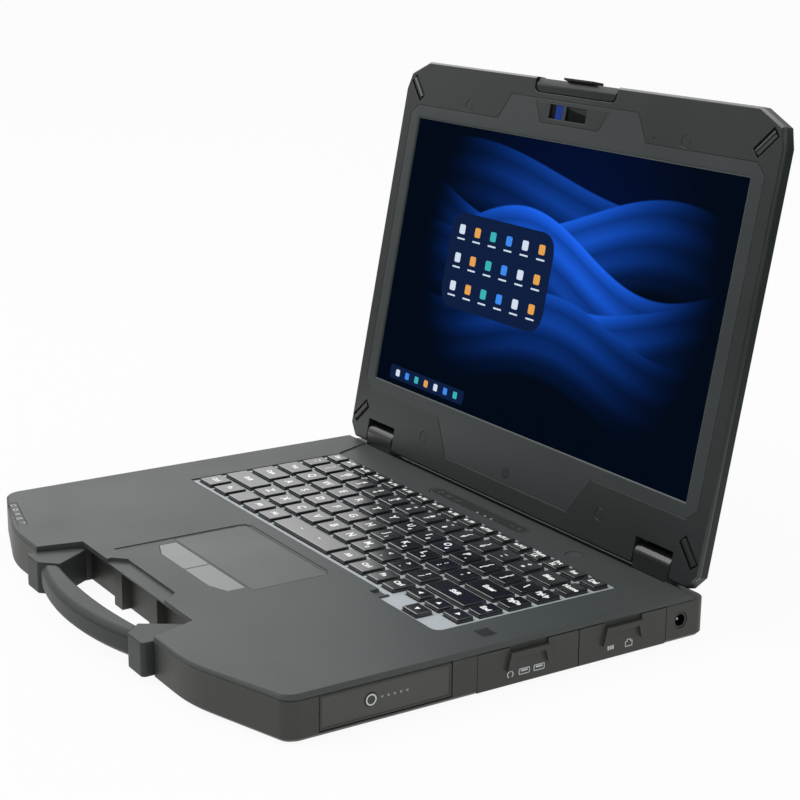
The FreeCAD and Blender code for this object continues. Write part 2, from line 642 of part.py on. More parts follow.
def make_top_cover():
    """The palm rest and deck, with every opening that the controls sit in."""
    slab = base_blank("cover_blank", deck_rear, seam_height, mm.deck_height)
    soften(slab, "Chamfer", mm.deck_edge_chamfer, lambda edge: cover_rim(edge, mm.deck_height))
    soften(slab, "Chamfer", mm.seam_chamfer, lambda edge: cover_rim(edge, seam_height))
    over = mm.deck_height + mm.wall
    under = seam_height - mm.wall
    zone_floor = mm.deck_height - mm.pad_zone_drop
    gap = mm.seat_gap
    reader_half = mm.reader_side / 2 + gap
    notch_right = arrows_left - mm.wall / 2
    near = keys_front - mm.opening_front
    tools = [
        slope_cutter("cover_slope", 0),
        bay_cutter("cover_bay", under, over),
        keyboard_slab("cover_keys", 0, under, over),
        control_zone("cover_zone", mm.deck_height - mm.zone_drop, over),
        pad_zone("cover_pad_zone", zone_floor, over),
        catch_recess("cover_catch"),
        box("cover_pad", (-mm.pad_half - gap, mm.pad_half + gap), (pad_front - gap, pad_back + gap),
            (under, over)),
        prism("cover_left_button", "XY_Plane", button_outline(-1, gap), under, over),
        prism("cover_right_button", "XY_Plane", button_outline(1, gap), under, over),
        box("cover_reader", (reader_x - reader_half, reader_x + reader_half),
            (reader_y - reader_half, reader_y + reader_half), (mm.deck_height - mm.reader_depth, over)),
        strip_slab("cover_strip", gap, zone_top - mm.strip_depth, over),
        rod("cover_power", "z", (mm.power_x, power_y), mm.power_radius + mm.slide_gap, under, over),
        turned_status("cover_status", gap),
        box("cover_step", (notch_right - mm.step_notch_width, notch_right),
            (near - mm.step_notch_depth, near), (mm.deck_height - mm.step_notch_drop, over)),
    ]
    return piece("top_cover", cut("cover_whole", slab, tools))


def cover_rim(edge, z):
    """The outer edges of the deck at a height, apart from the one along the hinge trough."""
    return level_at(edge, z) and edge.BoundBox.YMin < deck_rear.value - 0.1


def key_rows():
    """Each row as its name, its front edge, its depth and the width of every key from the left."""
    one = mm.key_width
    side_key = one * mm.side_share
    rows = [("key_row_function", function_back - mm.function_depth, mm.function_depth,
             [keyboard_width / 17] * 17)]
    for level, name, first_share, letters in (
        (4, "key_row_number", mm.grave_share, 12), (3, "key_row_upper", mm.tab_share, 12),
        (2, "key_row_home", mm.caps_share, 11), (1, "key_row_lower", mm.shift_share, 10),
    ):
        first = one * first_share
        wide_key = keyboard_width - first - one * letters - side_key
        rows.append((name, keys_front + mm.row_pitch * level, mm.row_pitch,
                     [first] + [one] * letters + [wide_key, side_key]))
    return rows


def bottom_keys():
    """The front row: its modifier keys, the space bar and the arrow cluster as cells."""
    one = mm.key_width
    row = (keys_front, mm.row_pitch)
    left = [(keys_left + one * index, one) + row for index in range(5)]
    space_start = left[-1][0] + one
    space_width = one * mm.space_share
    after = space_start + space_width
    right = [(after + one * index, one) + row for index in range(2)]
    narrow_start = after + one * 2
    narrow = one * mm.narrow_share
    right += [(narrow_start + narrow * index, narrow) + row for index in range(2)]
    space = [(space_start, space_width) + row]
    back = keys_front + mm.row_pitch
    upper = back - mm.arrow_depth
    lower = upper - mm.arrow_depth
    arrows = [(arrows_left + arrow_unit * index, arrow_unit, upper, mm.arrow_depth)
              for index in range(3)]
    arrows.append((arrows_left + arrow_unit, arrow_unit, lower, mm.arrow_depth))
    return {"key_row_bottom": left + right, "space_bar": space, "arrow_keys": arrows}


def key_cells():
    """Every key as node name, left, width, front and depth of its cell."""
    cells = {}
    for name, near, depth, widths in key_rows():
        left = keys_left
        cells[name] = []
        for width in widths:
            cells[name].append((left, width, near, depth))
            left = left + width
    cells.update(bottom_keys())
    return cells


def make_keyboard():
    """The pale web with a well for every key, the plate below it and the caps in their wells."""
    half_gap = mm.key_gap / 2
    wells = []
    for name, cells in key_cells().items():
        caps = []
        for index, (left, width, near, depth) in enumerate(cells):
            x = (left + half_gap, left + width - half_gap)
            y = (near + half_gap, near + depth - half_gap)
            caps.append(wedge_cap(f"{name}_cap_{index}", x, y, (key_bottom, key_top), mm.key_taper))
            wells.append(box(f"{name}_well_{index}", (x[0] - mm.well_gap, x[1] + mm.well_gap),
                             (y[0] - mm.well_gap, y[1] + mm.well_gap), (plate_top - mm.plate_inset, key_top)))
        piece(name, group(f"{name}_caps", caps))
    web = doc.addObject("Part::Cut", "web_whole")
    web.Base = keyboard_slab("web_blank", -mm.seat_gap, plate_top, mm.deck_height - mm.web_drop)
    web.Tool = group("web_wells", wells)
    piece("keyboard_web", web)
    plate = keyboard_slab("plate_blank", mm.plate_lap, plate_top - mm.plate_thickness, plate_top)
    piece("keyboard_plate", plate)


def make_deck_controls():
    """The touchpad, its buttons, the finger reader, the touch strip and the power button."""
    zone_floor = mm.deck_height - mm.pad_zone_drop
    piece("touchpad", box("touchpad_plate", (-mm.pad_half, mm.pad_half), (pad_front, pad_back),
                          (zone_floor - mm.pad_thickness, zone_floor)))
    for side, label in ((-1, "touchpad_button_left"), (1, "touchpad_button_right")):
        bar = prism(f"{label}_bar", "XY_Plane", button_outline(side, 0),
                    zone_floor - mm.button_thickness, zone_floor)
        piece(label, bar)
    half = mm.reader_side / 2
    seat = mm.deck_height - mm.reader_depth
    piece("fingerprint_reader", box("reader_block", (reader_x - half, reader_x + half),
                                    (reader_y - half, reader_y + half),
                                    (seat, seat + mm.reader_thickness)))
    strip_top = zone_top - mm.seat_gap
    piece("control_strip", strip_slab("strip_lens", 0, zone_top - mm.strip_depth, strip_top))
    piece("power_button", rod("power_cap", "z", (mm.power_x, power_y), mm.power_radius,
                              strip_top - mm.power_thickness, strip_top))
    lens = turned_status("status_lens", 0)
    piece("status_window", cut("status_whole", lens, [slope_cutter("lens_slope", mm.seat_gap)]))


def make_handle():
    """The carry handle: a bowed grip between two collars that are bolted into the bay."""
    top = mm.deck_height - mm.handle_top_drop
    grip_top = top - mm.grip_sink
    inner_y = front + mm.grip_inner_back
    collar_inner = mm.bay_mouth_half - mm.collar_width
    share = (mm.grip_end_reach + mm.grip_inner_back) / (mm.collar_reach + mm.grip_inner_back)
    end_half = mm.grip_inner_half + (collar_inner - mm.grip_inner_half) * share
    grip = prism("grip_bow", "XY_Plane", [
        (-end_half, grip_end_front), (end_half, grip_end_front),
        (mm.grip_inner_half, inner_y), (-mm.grip_inner_half, inner_y),
    ], grip_top - mm.grip_height, grip_top, {0: mm.grip_bulge, 2: -mm.grip_inner_bulge})
    soften(grip, "Chamfer", mm.grip_chamfer, lambda edge: bow_edge(edge, -1))
    soften(grip, "Chamfer", mm.grip_inner_chamfer, lambda edge: bow_edge(edge, 1))
    piece("handle_grip", grip)
    gap = mm.slide_gap
    right = [
        (collar_inner, front - mm.collar_reach), (mm.bay_mouth_half - gap, front - mm.collar_reach),
        (mm.bay_mouth_half - gap, front), (mm.bay_back_half - gap, bay_back - gap),
        (mm.arm_tip_half, bay_back - gap), (mm.grip_inner_half, inner_y),
    ]
    for label, outline in (
        ("handle_collar_right", right), ("handle_collar_left", [(-x, y) for x, y in right[::-1]]),
    ):
        collar = prism(f"{label}_blank", "XY_Plane", outline, top - mm.collar_height, top)
        piece(label, soften(collar, "Fillet", mm.collar_radius, outer_collar_edge))


def outer_collar_edge(edge):
    """The upright edges of a collar that stand out in front of the base."""
    return along(edge, "z") and edge.BoundBox.Center.y < grip_end_front.value


def bow_edge(edge, side):
    """The long edges of the grip, those towards the bay (1) or away from it (-1)."""
    limits = edge.BoundBox
    is_long = limits.ZLength < 1e-6 and limits.XLength > mm.grip_inner_half.value
    return is_long and side * (limits.YMax - front.value) > 0


def make_battery():
    """The slide-out battery with its charge button and five charge lamps."""
    gap = mm.slide_gap
    outer = half_width - gap
    low = floor_top + gap
    high = seam_height - gap
    near = battery_front + gap
    far = battery_back - gap
    block = prism("battery_block", "YZ_Plane", [(near, low), (far, low), (far, high), (near, high)],
                  outer - mm.battery_length, outer)
    soften(block, "Chamfer", mm.battery_chamfer, lambda edge: edge.BoundBox.XMin > outer.value - 0.01)
    lamp_start = gauge_y + mm.lamp_offset
    lamps = [(lamp_start + mm.lamp_pitch * index, f"lamp_{index}") for index in range(5)]
    hole = rod("gauge_hole", "x", (gauge_y, mm.gauge_z), mm.gauge_radius + mm.slide_gap,
               outer - mm.gauge_depth, outer + mm.wall)
    seats = [lamp_block(f"{name}_seat", y, outer + mm.wall) for y, name in lamps]
    piece("battery_pack", cut("battery_whole", block, [hole] + seats))
    piece("charge_lamps", group("lamp_group", [lamp_block(name, y, outer) for y, name in lamps]))
    piece("charge_button", rod("charge_cap", "x", (gauge_y, mm.gauge_z), mm.gauge_radius,
                               outer - mm.gauge_depth + mm.gauge_travel + mm.slide_gap,
                               outer + mm.gauge_stand))
    half = mm.slider_width / 2 - mm.hatch_gap
    reach = mm.slider_length / 2 - mm.hatch_gap
    piece("battery_latch", box("battery_latch_slider", (slider_x - half, slider_x + half),
                               (slider_y - reach, slider_y + reach),
                               (mm.foot_height + mm.hatch_gap, floor_top)))


def lamp_block(name, y, out):
    """One small square lamp in the battery's face."""
    reach = mm.lamp_half
    back = half_width - mm.slide_gap - mm.lamp_depth
    return box(name, (back, out), (y - reach, y + reach), (mm.gauge_z - reach, mm.gauge_z + reach))


def door_plate(name, side, near, far):
    """A port door: a plate on a rolled lower edge, with a raised finger bracket below a hollow."""
    gap = mm.door_gap
    out = side * half_width
    inside = side * (half_width - mm.door_thickness)
    span = (near + gap, far - gap)
    roll_z = mm.foot_height + gap + mm.door_roll
    roll_x = side * (half_width - mm.door_roll)
    door_top = seam_height - gap
    x = (inside, out) if side > 0 else (out, inside)
    plate = box(f"{name}_plate", x, span, (roll_z, door_top))
    roll = rod(f"{name}_roll", "y", (roll_x, roll_z), mm.door_roll, span[0], span[1])
    middle = (near + far) / 2
    proud = side * (half_width + mm.tab_stand)
    tab_x = (out, proud) if side > 0 else (proud, out)
    tab_top = door_top - mm.tab_below_top
    tab_foot = tab_top - mm.tab_drop
    bar = box(f"{name}_bar", tab_x, (middle - mm.tab_half, middle + mm.tab_half),
              (tab_top - mm.tab_bar, tab_top))
    legs = []
    for index, way in enumerate((-1, 1)):
        outer = middle + mm.tab_half * way
        inner = outer - mm.tab_leg_width * way
        splay = mm.tab_splay * way
        legs.append(prism(f"{name}_leg_{index}", "YZ_Plane", [
            (outer, tab_top), (inner, tab_top), (inner + splay, tab_foot), (outer + splay, tab_foot),
        ], *tab_x))
    sunk = out - side * mm.tab_hollow
    hollow = box(f"{name}_hollow", (sunk, out) if side > 0 else (out, sunk),
                 (middle - mm.tab_half, middle + mm.tab_half), (tab_top, seam_height))
    return joined(f"{name}_whole", [cut(f"{name}_skin", plate, [hollow]), roll, bar] + legs)


def port_row(name, side, middle, sockets):
    """The connectors behind a door, side by side, each a block with one socket."""
    face = side * port_face
    back = face - side * mm.port_depth
    deep = face - side * mm.socket_depth
    mouth = face + side * mm.wall
    connectors = []
    for index, (offset, width, height) in enumerate(sockets):
        centre = middle + mm.socket_pitch * offset
        label = f"{name}_{index}"
        wall = mm.port_wall
        block = box(f"{label}_block", (back, face) if side > 0 else (face, back),
                    (centre - width / 2 - wall, centre + width / 2 + wall),
                    (mm.port_z - height / 2 - wall, mm.port_z + height / 2 + wall))
        socket = box(f"{label}_socket", (deep, mouth) if side > 0 else (mouth, deep),
                     (centre - width / 2, centre + width / 2),
                     (mm.port_z - height / 2, mm.port_z + height / 2))
        connectors.append(cut(label, block, [socket]))
    return group(f"{name}_row", connectors)


def make_sides():
    """The three port doors, the connectors behind them and the power inlet."""
    usb = (mm.socket_width, mm.socket_height)
    lan = (mm.lan_width, mm.lan_height)
    rows = (
        ("front", 1, door_front, door_split, [(-1,) + usb, (0,) + usb, (1,) + usb]),
        ("rear", 1, door_split, door_back, [(-0.6,) + usb, (0.6,) + lan]),
        ("left", -1, left_door_front, left_door_back, [(-0.6,) + usb, (0.6,) + usb]),
    )
    for name, side, near, far, sockets in rows:
        piece(f"port_door_{name}", door_plate(f"{name}_door", side, near, far))
        piece(f"port_block_{name}", port_row(f"{name}_ports", side, (near + far) / 2, sockets))
    face = half_width - mm.slide_gap
    sleeve = rod("inlet_sleeve", "x", (inlet_y, mm.inlet_z), mm.inlet_radius - mm.seat_gap,
                 face - mm.inlet_length, face)
    bore = rod("inlet_bore_tool", "x", (inlet_y, mm.inlet_z), mm.inlet_bore,
               face - mm.inlet_length + mm.wall, face + mm.wall)
    pin = rod("inlet_pin_rod", "x", (inlet_y, mm.inlet_z), mm.inlet_pin,
              face - mm.inlet_length + mm.wall / 2, face - mm.wall)
    piece("power_inlet", joined("inlet_whole", [cut("inlet_hollow", sleeve, [bore]), pin]))


def make_inside():
    """The main board with its parts, and the cooling fan that blows through the left vents."""
    top = mm.board_z + mm.board_thickness
    piece("main_board", box("board_plate", (board_left, board_right), (board_front, board_back),
                            (mm.board_z, top)))
    chip_x = (board_left + mm.chip_side, board_left + mm.chip_side * 2)
    chip_y = (fan_y - mm.chip_side / 2, fan_y + mm.chip_side / 2)
    piece("processor", box("processor_block", chip_x, chip_y, (top, fan_top)))
    drive_x = board_right - mm.drive_length - mm.standoff_half * 4
    piece("solid_state_drive", box("drive_block", (drive_x, drive_x + mm.drive_length),
                                   (board_front + mm.drive_width, board_front + mm.drive_width * 2),
                                   (top, top + mm.drive_height)))
    memory_x = board_left + mm.standoff_half * 4
    piece("memory_module", box("memory_block", (memory_x, memory_x + mm.memory_length),
                               (board_front + mm.standoff_half * 4,
                                board_front + mm.standoff_half * 4 + mm.memory_width),
                               (top, top + mm.memory_height)))
    make_cooling(chip_x)


def make_cooling(chip_x):
    """A flat blower: a housing on the floor, a bladed rotor, a fin stack and a heat pipe."""
    half = mm.fan_side / 2
    low = floor_top
    skin = mm.fan_skin
    housing = box("fan_shell", (fan_x - half, fan_x + half), (fan_y - half, fan_y + half),
                  (low, fan_top))
    room_half = mm.rotor_radius + mm.blade_gap + skin
    room = box("fan_room", (fan_x - half - skin, fan_x + room_half), (fan_y - room_half, fan_y + room_half),
               (low + skin, fan_top - skin))
    eye = rod("fan_eye", "z", (fan_x, fan_y), mm.rotor_radius - skin, low - skin, low + skin * 2)
    shaft = rod("fan_shaft", "z", (fan_x, fan_y), mm.shaft_radius, low + skin * 2,
                fan_top - skin / 2)
    hollow = cut("fan_hollow", housing, [room, eye])
    piece("fan_housing", joined("fan_housing_whole", [hollow, shaft]))
    rotor_low = low + skin + mm.blade_gap
    rotor_high = fan_top - skin - mm.blade_gap
    hub = rod("rotor_hub", "z", (fan_x, fan_y), mm.hub_radius, rotor_low, rotor_high)
    blades = []
    for index in range(9):
        blade = box(f"rotor_blade_{index}", (0, mm.hub_radius + mm.blade_length),
                    (0, mm.blade_thickness), (0, rotor_high - rotor_low))
        blade.Placement = FreeCAD.Placement(Vector(), Rotation(Vector(0, 0, 1), 360 / 9 * index))
        move_to(blade, fan_x, fan_y, rotor_low)
        blades.append(blade)
    bore = rod("rotor_bore", "z", (fan_x, fan_y), mm.shaft_radius + mm.shaft_gap, low, fan_top)
    piece("fan_rotor", cut("rotor_whole", joined("rotor_solid", [hub] + blades), [bore]))
    fin_x = (fan_x - half - mm.fin_length, fan_x - half)
    base = box("fin_base", fin_x, (fan_y - half, fan_y + half), (low, low + skin))
    fins = []
    for index in range(14):
        start = fan_y - half + (mm.fan_side - skin) / 13 * index
        fins.append(box(f"fin_{index}", fin_x, (start, start + skin), (low, fan_top)))
    pipe = box("heat_pipe", (fan_x - half - mm.fin_length, chip_x[1]),
               (fan_y - mm.pipe_half, fan_y + mm.pipe_half), (fan_top, fan_top + mm.pipe_height))
    piece("heat_sink", joined("heat_sink_whole", [base] + fins + [pipe]))


def make_underside():
    """Feet and the service hatch."""
    half_length = mm.foot_length / 2
    half_foot = mm.foot_width / 2
    feet = [
        box(f"foot_{index}", (x - half_length, x + half_length), (y - half_foot, y + half_foot),
            (0, mm.foot_height))
        for index, (x, y) in enumerate(foot_places())
    ]
    piece("rubber_feet", group("feet_group", feet))
    gap = mm.hatch_gap
    piece("service_hatch", box("hatch_plate", (-mm.hatch_left + gap, hatch_right - gap),
                               (hatch_front + gap, hatch_back - gap), (mm.foot_height, floor_top)))


def foot_places():
    x = half_width - mm.foot_side
    return [(side * x, y) for side in (-1, 1) for y in (front + mm.foot_front, rear - mm.foot_rear)]


def lid_outline(margin):
    """The plan of the screen half: cut corners at the top, small ones at the hinge edge."""
    half = half_width - margin
    top = lid_height - margin
    tail = margin - mm.lid_tail
    right = [
        (half - mm.tail_corner_x, tail), (half, tail + mm.tail_corner_y),
        (half, top - mm.lid_corner_y - mm.lid_cheek_y),
        (half - mm.lid_cheek_x, top - mm.lid_corner_y),
        (half - mm.lid_corner_x, top),
    ]
    return right + [(-x, y) for x, y in right[::-1]]


def hinge_notches(name, top, low, high):
    """The two gaps in the hinge edge where the barrels of the base stand."""
    reach = mm.hinge_half + mm.hinge_notch_gap
    return [
        box(f"{name}_{index}", (side * hinge_middle - reach, side * hinge_middle + reach),
            (-mm.lid_tail - mm.wall, top), (low, high))
        for index, side in enumerate((-1, 1))
    ]


def latch_notch(name, low, high):
    """The pocket for the latch in the lid's top edge, with its lower corners rounded."""
    foot = lid_height - mm.latch_foot - mm.latch_inset
    half = mm.latch_notch_half
    pocket = prism(name, "XY_Plane", [
        (-half, foot), (half, foot), (half, lid_height + mm.wall), (-half, lid_height + mm.wall),
    ], low, high)
    return soften(pocket, "Fillet", mm.latch_corner, lambda edge: upright_at(edge, half, foot))


def panel_limits(margin):
    half = mm.screen_width / 2 + mm.panel_margin + margin
    low = mm.screen_low - mm.panel_margin - margin
    return (-half, half), (low, screen_high + mm.panel_margin + margin)


def pin_limits():
    reach = mm.hinge_half + mm.hinge_notch_gap + mm.pin_reach
    return [(side * hinge_middle - reach, side * hinge_middle + reach) for side in (-1, 1)]


def make_lid_back():
    """The outer shell of the lid, bevelled all round its back, with a low plateau in the middle."""
    shell = prism("lid_shell", "XY_Plane", lid_outline(0), -mm.lid_back, mm.lid_seam)
    soften(shell, "Chamfer", mm.lid_bevel, lambda edge: level_at(edge, -mm.lid_back))
    over = mm.lid_seam + mm.wall
    under = -mm.lid_back - mm.wall
    x, y = panel_limits(mm.frame_gap)
    camera_top = window_high + mm.wall
    inner_face = mm.lid_skin - mm.lid_back
    tools = [
        box("lid_hollow", x, y, (inner_face, over)),
        box("camera_hollow", (-mm.camera_high_half, mm.camera_high_half), (y[1] - mm.wall, camera_top),
            (inner_face, over)),
        latch_notch("lid_latch_notch", -mm.latch_notch_rear, over),
    ]
    tools += hinge_notches("lid_hinge_notch", mm.hinge_notch_top, inner_face, over)
    tools += hinge_notches("lid_hinge_slot", mm.hinge_slot_top, under, over)
    for index, (low, high) in enumerate(pin_limits()):
        tools.append(rod(f"lid_pin_hole_{index}", "x", (0, 0), mm.pin_radius, low, high))
    tools.append(rod("lid_latch_pin", "x", (latch_pivot_y, mm.latch_pivot_z), mm.latch_pin_radius,
                     -mm.latch_notch_half - mm.wall, mm.latch_notch_half + mm.wall))
    lid_piece("lid_back_cover", cut("lid_back_whole", shell, tools))
    raised = [
        (-half_width + mm.plateau_margin, mm.plateau_margin),
        (half_width - mm.plateau_margin, mm.plateau_margin),
        (half_width - mm.plateau_margin, lid_height - mm.plateau_margin),
        (mm.plateau_margin - half_width, lid_height - mm.plateau_margin),
    ]
    skin = prism("lid_plateau", "XY_Plane", raised, -mm.lid_back - mm.plateau_rise, -mm.lid_back)
    soften(skin, "Fillet", mm.corner_radius, lambda edge: along(edge, "z"))
    lid_piece("lid_back_plate", skin)


def frame_outline(margin):
    """The screen surround: a rectangle with cut corners, a tab below and a camera tab above."""
    half = frame_half + margin
    low = frame_low - margin
    high = frame_high + margin
    right = [
        (mm.tab_low_half + margin, mm.tab_low - margin), (mm.tab_low_top_half + margin, low),
        (half - mm.frame_corner_x, low), (half, low + mm.frame_corner_y),
        (half, high - mm.frame_corner_y), (half - mm.frame_corner_x, high),
        (mm.tab_high_low_half + margin, high), (mm.tab_high_half + margin, tab_high + margin),
    ]
    return right + [(-x, y) for x, y in right[::-1]]


def plug_places():
    plug_high = frame_high + mm.plug_high_lift
    return [
        (-mm.plug_high_x, plug_high), (mm.plug_high_x, plug_high),
        (-mm.plug_low_x, mm.plug_low_y), (mm.plug_low_x, mm.plug_low_y),
    ]


def bumper_places():
    """Middle and turn of each corner bumper; each lies across its corner of the lid."""
    top_x = half_width - mm.bumper_top_inset
    top_y = lid_height - mm.bumper_top_below
    low_x = half_width - mm.bumper_low_inset
    return [
        (-top_x, top_y, -1), (top_x, top_y, 1),
        (-low_x, mm.bumper_low_y, 1), (low_x, mm.bumper_low_y, -1),
    ]


def bumper_slab(name, x, y, turn, margin, low, high):
    """A pocket for a bumper, laid across the corner."""
    half = mm.bumper_length / 2 + margin
    width = mm.bumper_radius + margin
    outline = [(-half, -width), (half, -width), (half, width), (-half, width)]
    slab = prism(name, "XY_Plane", outline, low, high)
    slab.Placement = FreeCAD.Placement(Vector(), Rotation(Vector(0, 0, 1), 45 * turn))
    move_to(slab, x, y, 0)
    return slab


def make_bezel():
    """The bezel around the screen surround, with seats for the plugs, bumpers and latch."""
    blank = prism("bezel_blank", "XY_Plane", lid_outline(0), mm.lid_seam, mm.lid_face)
    soften(blank, "Chamfer", mm.bezel_chamfer, lambda edge: level_at(edge, mm.lid_face))
    over = mm.lid_face + mm.wall
    under = mm.lid_seam - mm.wall
    seat = mm.lid_face - mm.frame_thickness - mm.plug_sink
    x, y = panel_limits(mm.frame_gap)
    tools = [
        prism("bezel_seat", "XY_Plane", frame_outline(mm.frame_gap), seat, over),
        box("bezel_window", x, y, (under, over)),
        box("bezel_camera", (-mm.camera_low_half, mm.camera_low_half),
            (y[1] - mm.wall, window_high + mm.wall), (under, over)),
        latch_notch("bezel_latch_notch", under, over),
    ]
    tools += hinge_notches("bezel_hinge_notch", mm.hinge_notch_top, under, over)
    for index, (px, py) in enumerate(plug_places()):
        tools.append(rod(f"plug_seat_{index}", "z", (px, py), mm.plug_radius,
                         mm.lid_face - mm.plug_depth, over))
    for index, (bx, by, turn) in enumerate(bumper_places()):
        tools.append(bumper_slab(f"bumper_seat_{index}", bx, by, turn, mm.bumper_gap,
                                 mm.lid_face + mm.bumper_proud - mm.bumper_radius, over))
    lid_piece("lid_bezel", cut("bezel_whole", blank, tools))
    plugs = [
        rod(f"plug_{index}", "z", (px, py), mm.plug_radius - mm.seat_gap, mm.lid_face - mm.plug_depth,
            mm.lid_face - mm.plug_sink)
        for index, (px, py) in enumerate(plug_places())
    ]
    lid_piece("bezel_plugs", group("plug_group", plugs))
    make_bumpers()


def make_bumpers():
    """Short rubber rods, half sunk across each corner of the bezel."""
    rods = []
    for index, (x, y, turn) in enumerate(bumper_places()):
        cylinder = doc.addObject("Part::Cylinder", f"bumper_{index}")
        bind(cylinder, "Radius", mm.bumper_radius)
        bind(cylinder, "Height", mm.bumper_length)
        lie = Rotation(Vector(0, 0, 1), 45 * turn).multiply(Rotation(Vector(0, 1, 0), 90))
        cylinder.Placement = FreeCAD.Placement(Vector(), lie)
        shift = mm.bumper_length / 2 * math.cos(math.radians(45))
        move_to(cylinder, x - shift, y - shift * turn, mm.lid_face + mm.bumper_proud - mm.bumper_radius)
        rods.append(cylinder)
    floor_cut = mm.lid_face + mm.bumper_proud - mm.bumper_radius
    slab = box("bumper_floor", (-half_width, half_width), (-mm.lid_tail, lid_height),
               (floor_cut - mm.bumper_radius * 2, floor_cut))
    halves = doc.addObject("Part::Cut", "bumper_halves")
    halves.Base = group("bumper_rods", rods)
    halves.Tool = slab
    lid_piece("corner_bumpers", halves)


def make_screen():
    """The display panel, the surround over its border and the plug in the lower tab."""
    x, y = panel_limits(0)
    panel_z = (mm.screen_face - mm.panel_thickness, mm.screen_face)
    lid_piece("display_panel", box("panel_block", x, y, panel_z))
    top = mm.lid_face - mm.plug_sink
    sheet_low = top - mm.frame_thickness
    blank = prism("surround_blank", "XY_Plane", frame_outline(0), sheet_low, top)
    over = top + mm.wall
    half = mm.screen_width / 2
    bevel = mm.frame_bevel
    view = prism("surround_view", "XY_Plane", [
        (-half, mm.screen_low), (half, mm.screen_low),
        (half, screen_high), (-half, screen_high),
    ], sheet_low - mm.wall, over)
    mouth = wedge_cap("surround_mouth", (-half - bevel * 2, half + bevel * 2),
                      (mm.screen_low - bevel * 2, screen_high + bevel * 2),
                      (-top, bevel - top), bevel * 2)
    mouth.Placement = FreeCAD.Placement(Vector(), Rotation(Vector(1, 0, 0), -90))
    move_to(mouth, -half - bevel * 2, mm.screen_low - bevel * 2, top)
    tools = [
        view, mouth,
        camera_slab("surround_camera", mm.frame_gap, sheet_low - mm.wall, over),
        rod("low_plug_seat", "z", (0, mm.plug_low_y), mm.plug_radius, sheet_low - mm.wall, over),
    ]
    lid_piece("screen_surround", cut("surround_whole", blank, tools))
    lid_piece("surround_plug", rod("surround_plug_cap", "z", (0, mm.plug_low_y),
                                   mm.plug_radius - mm.seat_gap, sheet_low, top))


def camera_slab(name, margin, low, high):
    outline = [
        (-mm.camera_low_half - margin, camera_low - margin),
        (mm.camera_low_half + margin, camera_low - margin),
        (mm.camera_high_half + margin, camera_high + margin),
        (-mm.camera_high_half - margin, camera_high + margin),
    ]
    return prism(name, "XY_Plane", outline, low, high)


def make_camera():
    """The camera cover with two windows, the camera behind it and the sliding privacy shutter."""
    top = mm.lid_face - mm.plug_sink
    low = top - mm.frame_thickness
    over = top + mm.wall
    clear = mm.camera_clear
    slab = camera_slab("camera_blank", 0, low, top)
    windows = [
        box("tab_window", (mm.tab_window_left, mm.tab_window_right), (window_low, window_high),
            (low - mm.wall, over)),
        box("lens_window", (mm.lens_window_left, mm.lens_window_right), (window_low, window_high),
            (low - mm.wall, over)),
    ]
    lid_piece("camera_cover", cut("camera_cover_whole", slab, windows))
    shutter_top = low - clear
    shutter_low = shutter_top - mm.shutter_thickness
    middle = (window_low + window_high) / 2
    inset = mm.wall / 2
    blade_right = mm.lens_window_right + mm.shutter_travel + inset
    plate = box("shutter_plate", (mm.tab_window_left - inset + mm.shutter_travel, blade_right),
                (window_low - inset, window_high + inset), (shutter_low, shutter_top))
    look = box("shutter_look", (mm.lens_window_left - inset, mm.lens_x + mm.lens_radius + inset * 2),
               (window_low, window_high), (shutter_low - mm.wall, over))
    knob = box("shutter_knob", (mm.tab_window_right - clear - mm.shutter_tab, mm.tab_window_right - clear),
               (window_low + clear, window_high - clear), (shutter_low, top - clear))
    lid_piece("camera_shutter", joined("shutter_whole", [cut("shutter_sheet", plate, [look]), knob]))
    board_top = shutter_low - clear
    board = box("camera_board", (mm.tab_window_left, mm.lens_window_right + mm.shutter_travel),
                (window_low - inset, window_high + inset), (board_top - mm.camera_depth, board_top))
    lens = rod("camera_lens", "z", (mm.lens_x, middle), mm.lens_radius, board_top, board_top + clear / 2)
    half = mm.camera_lamp_half
    lamp = box("camera_lamp", (mm.lamp_x - half, mm.lamp_x + half), (middle - half, middle + half),
               (board_top, board_top + clear / 2))
    lid_piece("camera_module", joined("camera_whole", [board, lens, lamp]))


def make_latch():
    """The lid latch: a bar on a pin across the lid's top edge, with a tab that hooks over the front edge."""
    low = lid_height - mm.latch_foot
    high = lid_height - mm.latch_inset
    lip = high - mm.latch_lip
    bar = prism("latch_bar", "YZ_Plane", [
        (low, 0), (low, mm.latch_front), (lip, mm.latch_front), (high, mm.latch_face),
        (high, -mm.latch_rear), (low + mm.latch_rear, -mm.latch_rear),
    ], -mm.latch_half, mm.latch_half)
    soften(bar, "Fillet", mm.latch_corner, lambda edge: upright_at(edge, mm.latch_half, low))
    tip = high + mm.latch_tab_rise
    tab = prism("latch_tab", "YZ_Plane", [
        (high, -mm.latch_rear), (high, mm.latch_face),
        (tip - mm.latch_tab_thickness, mm.latch_front + mm.latch_tab_reach),
        (tip, mm.latch_front + mm.latch_tab_reach), (tip, -mm.latch_rear),
    ], mm.latch_tab_x - mm.latch_tab_half, mm.latch_tab_x + mm.latch_tab_half)
    hole = rod("latch_bore", "x", (latch_pivot_y, mm.latch_pivot_z), mm.latch_pin_radius + mm.pin_gap,
               -mm.latch_half - mm.wall, mm.latch_half + mm.wall)
    lid_piece("lid_latch", cut("latch_whole", joined("latch_solid", [bar, tab]), [hole]))
    lid_piece("latch_pin", rod("latch_pin_rod", "x", (latch_pivot_y, mm.latch_pivot_z), mm.latch_pin_radius,
                               -mm.latch_notch_half - mm.wall, mm.latch_notch_half + mm.wall))


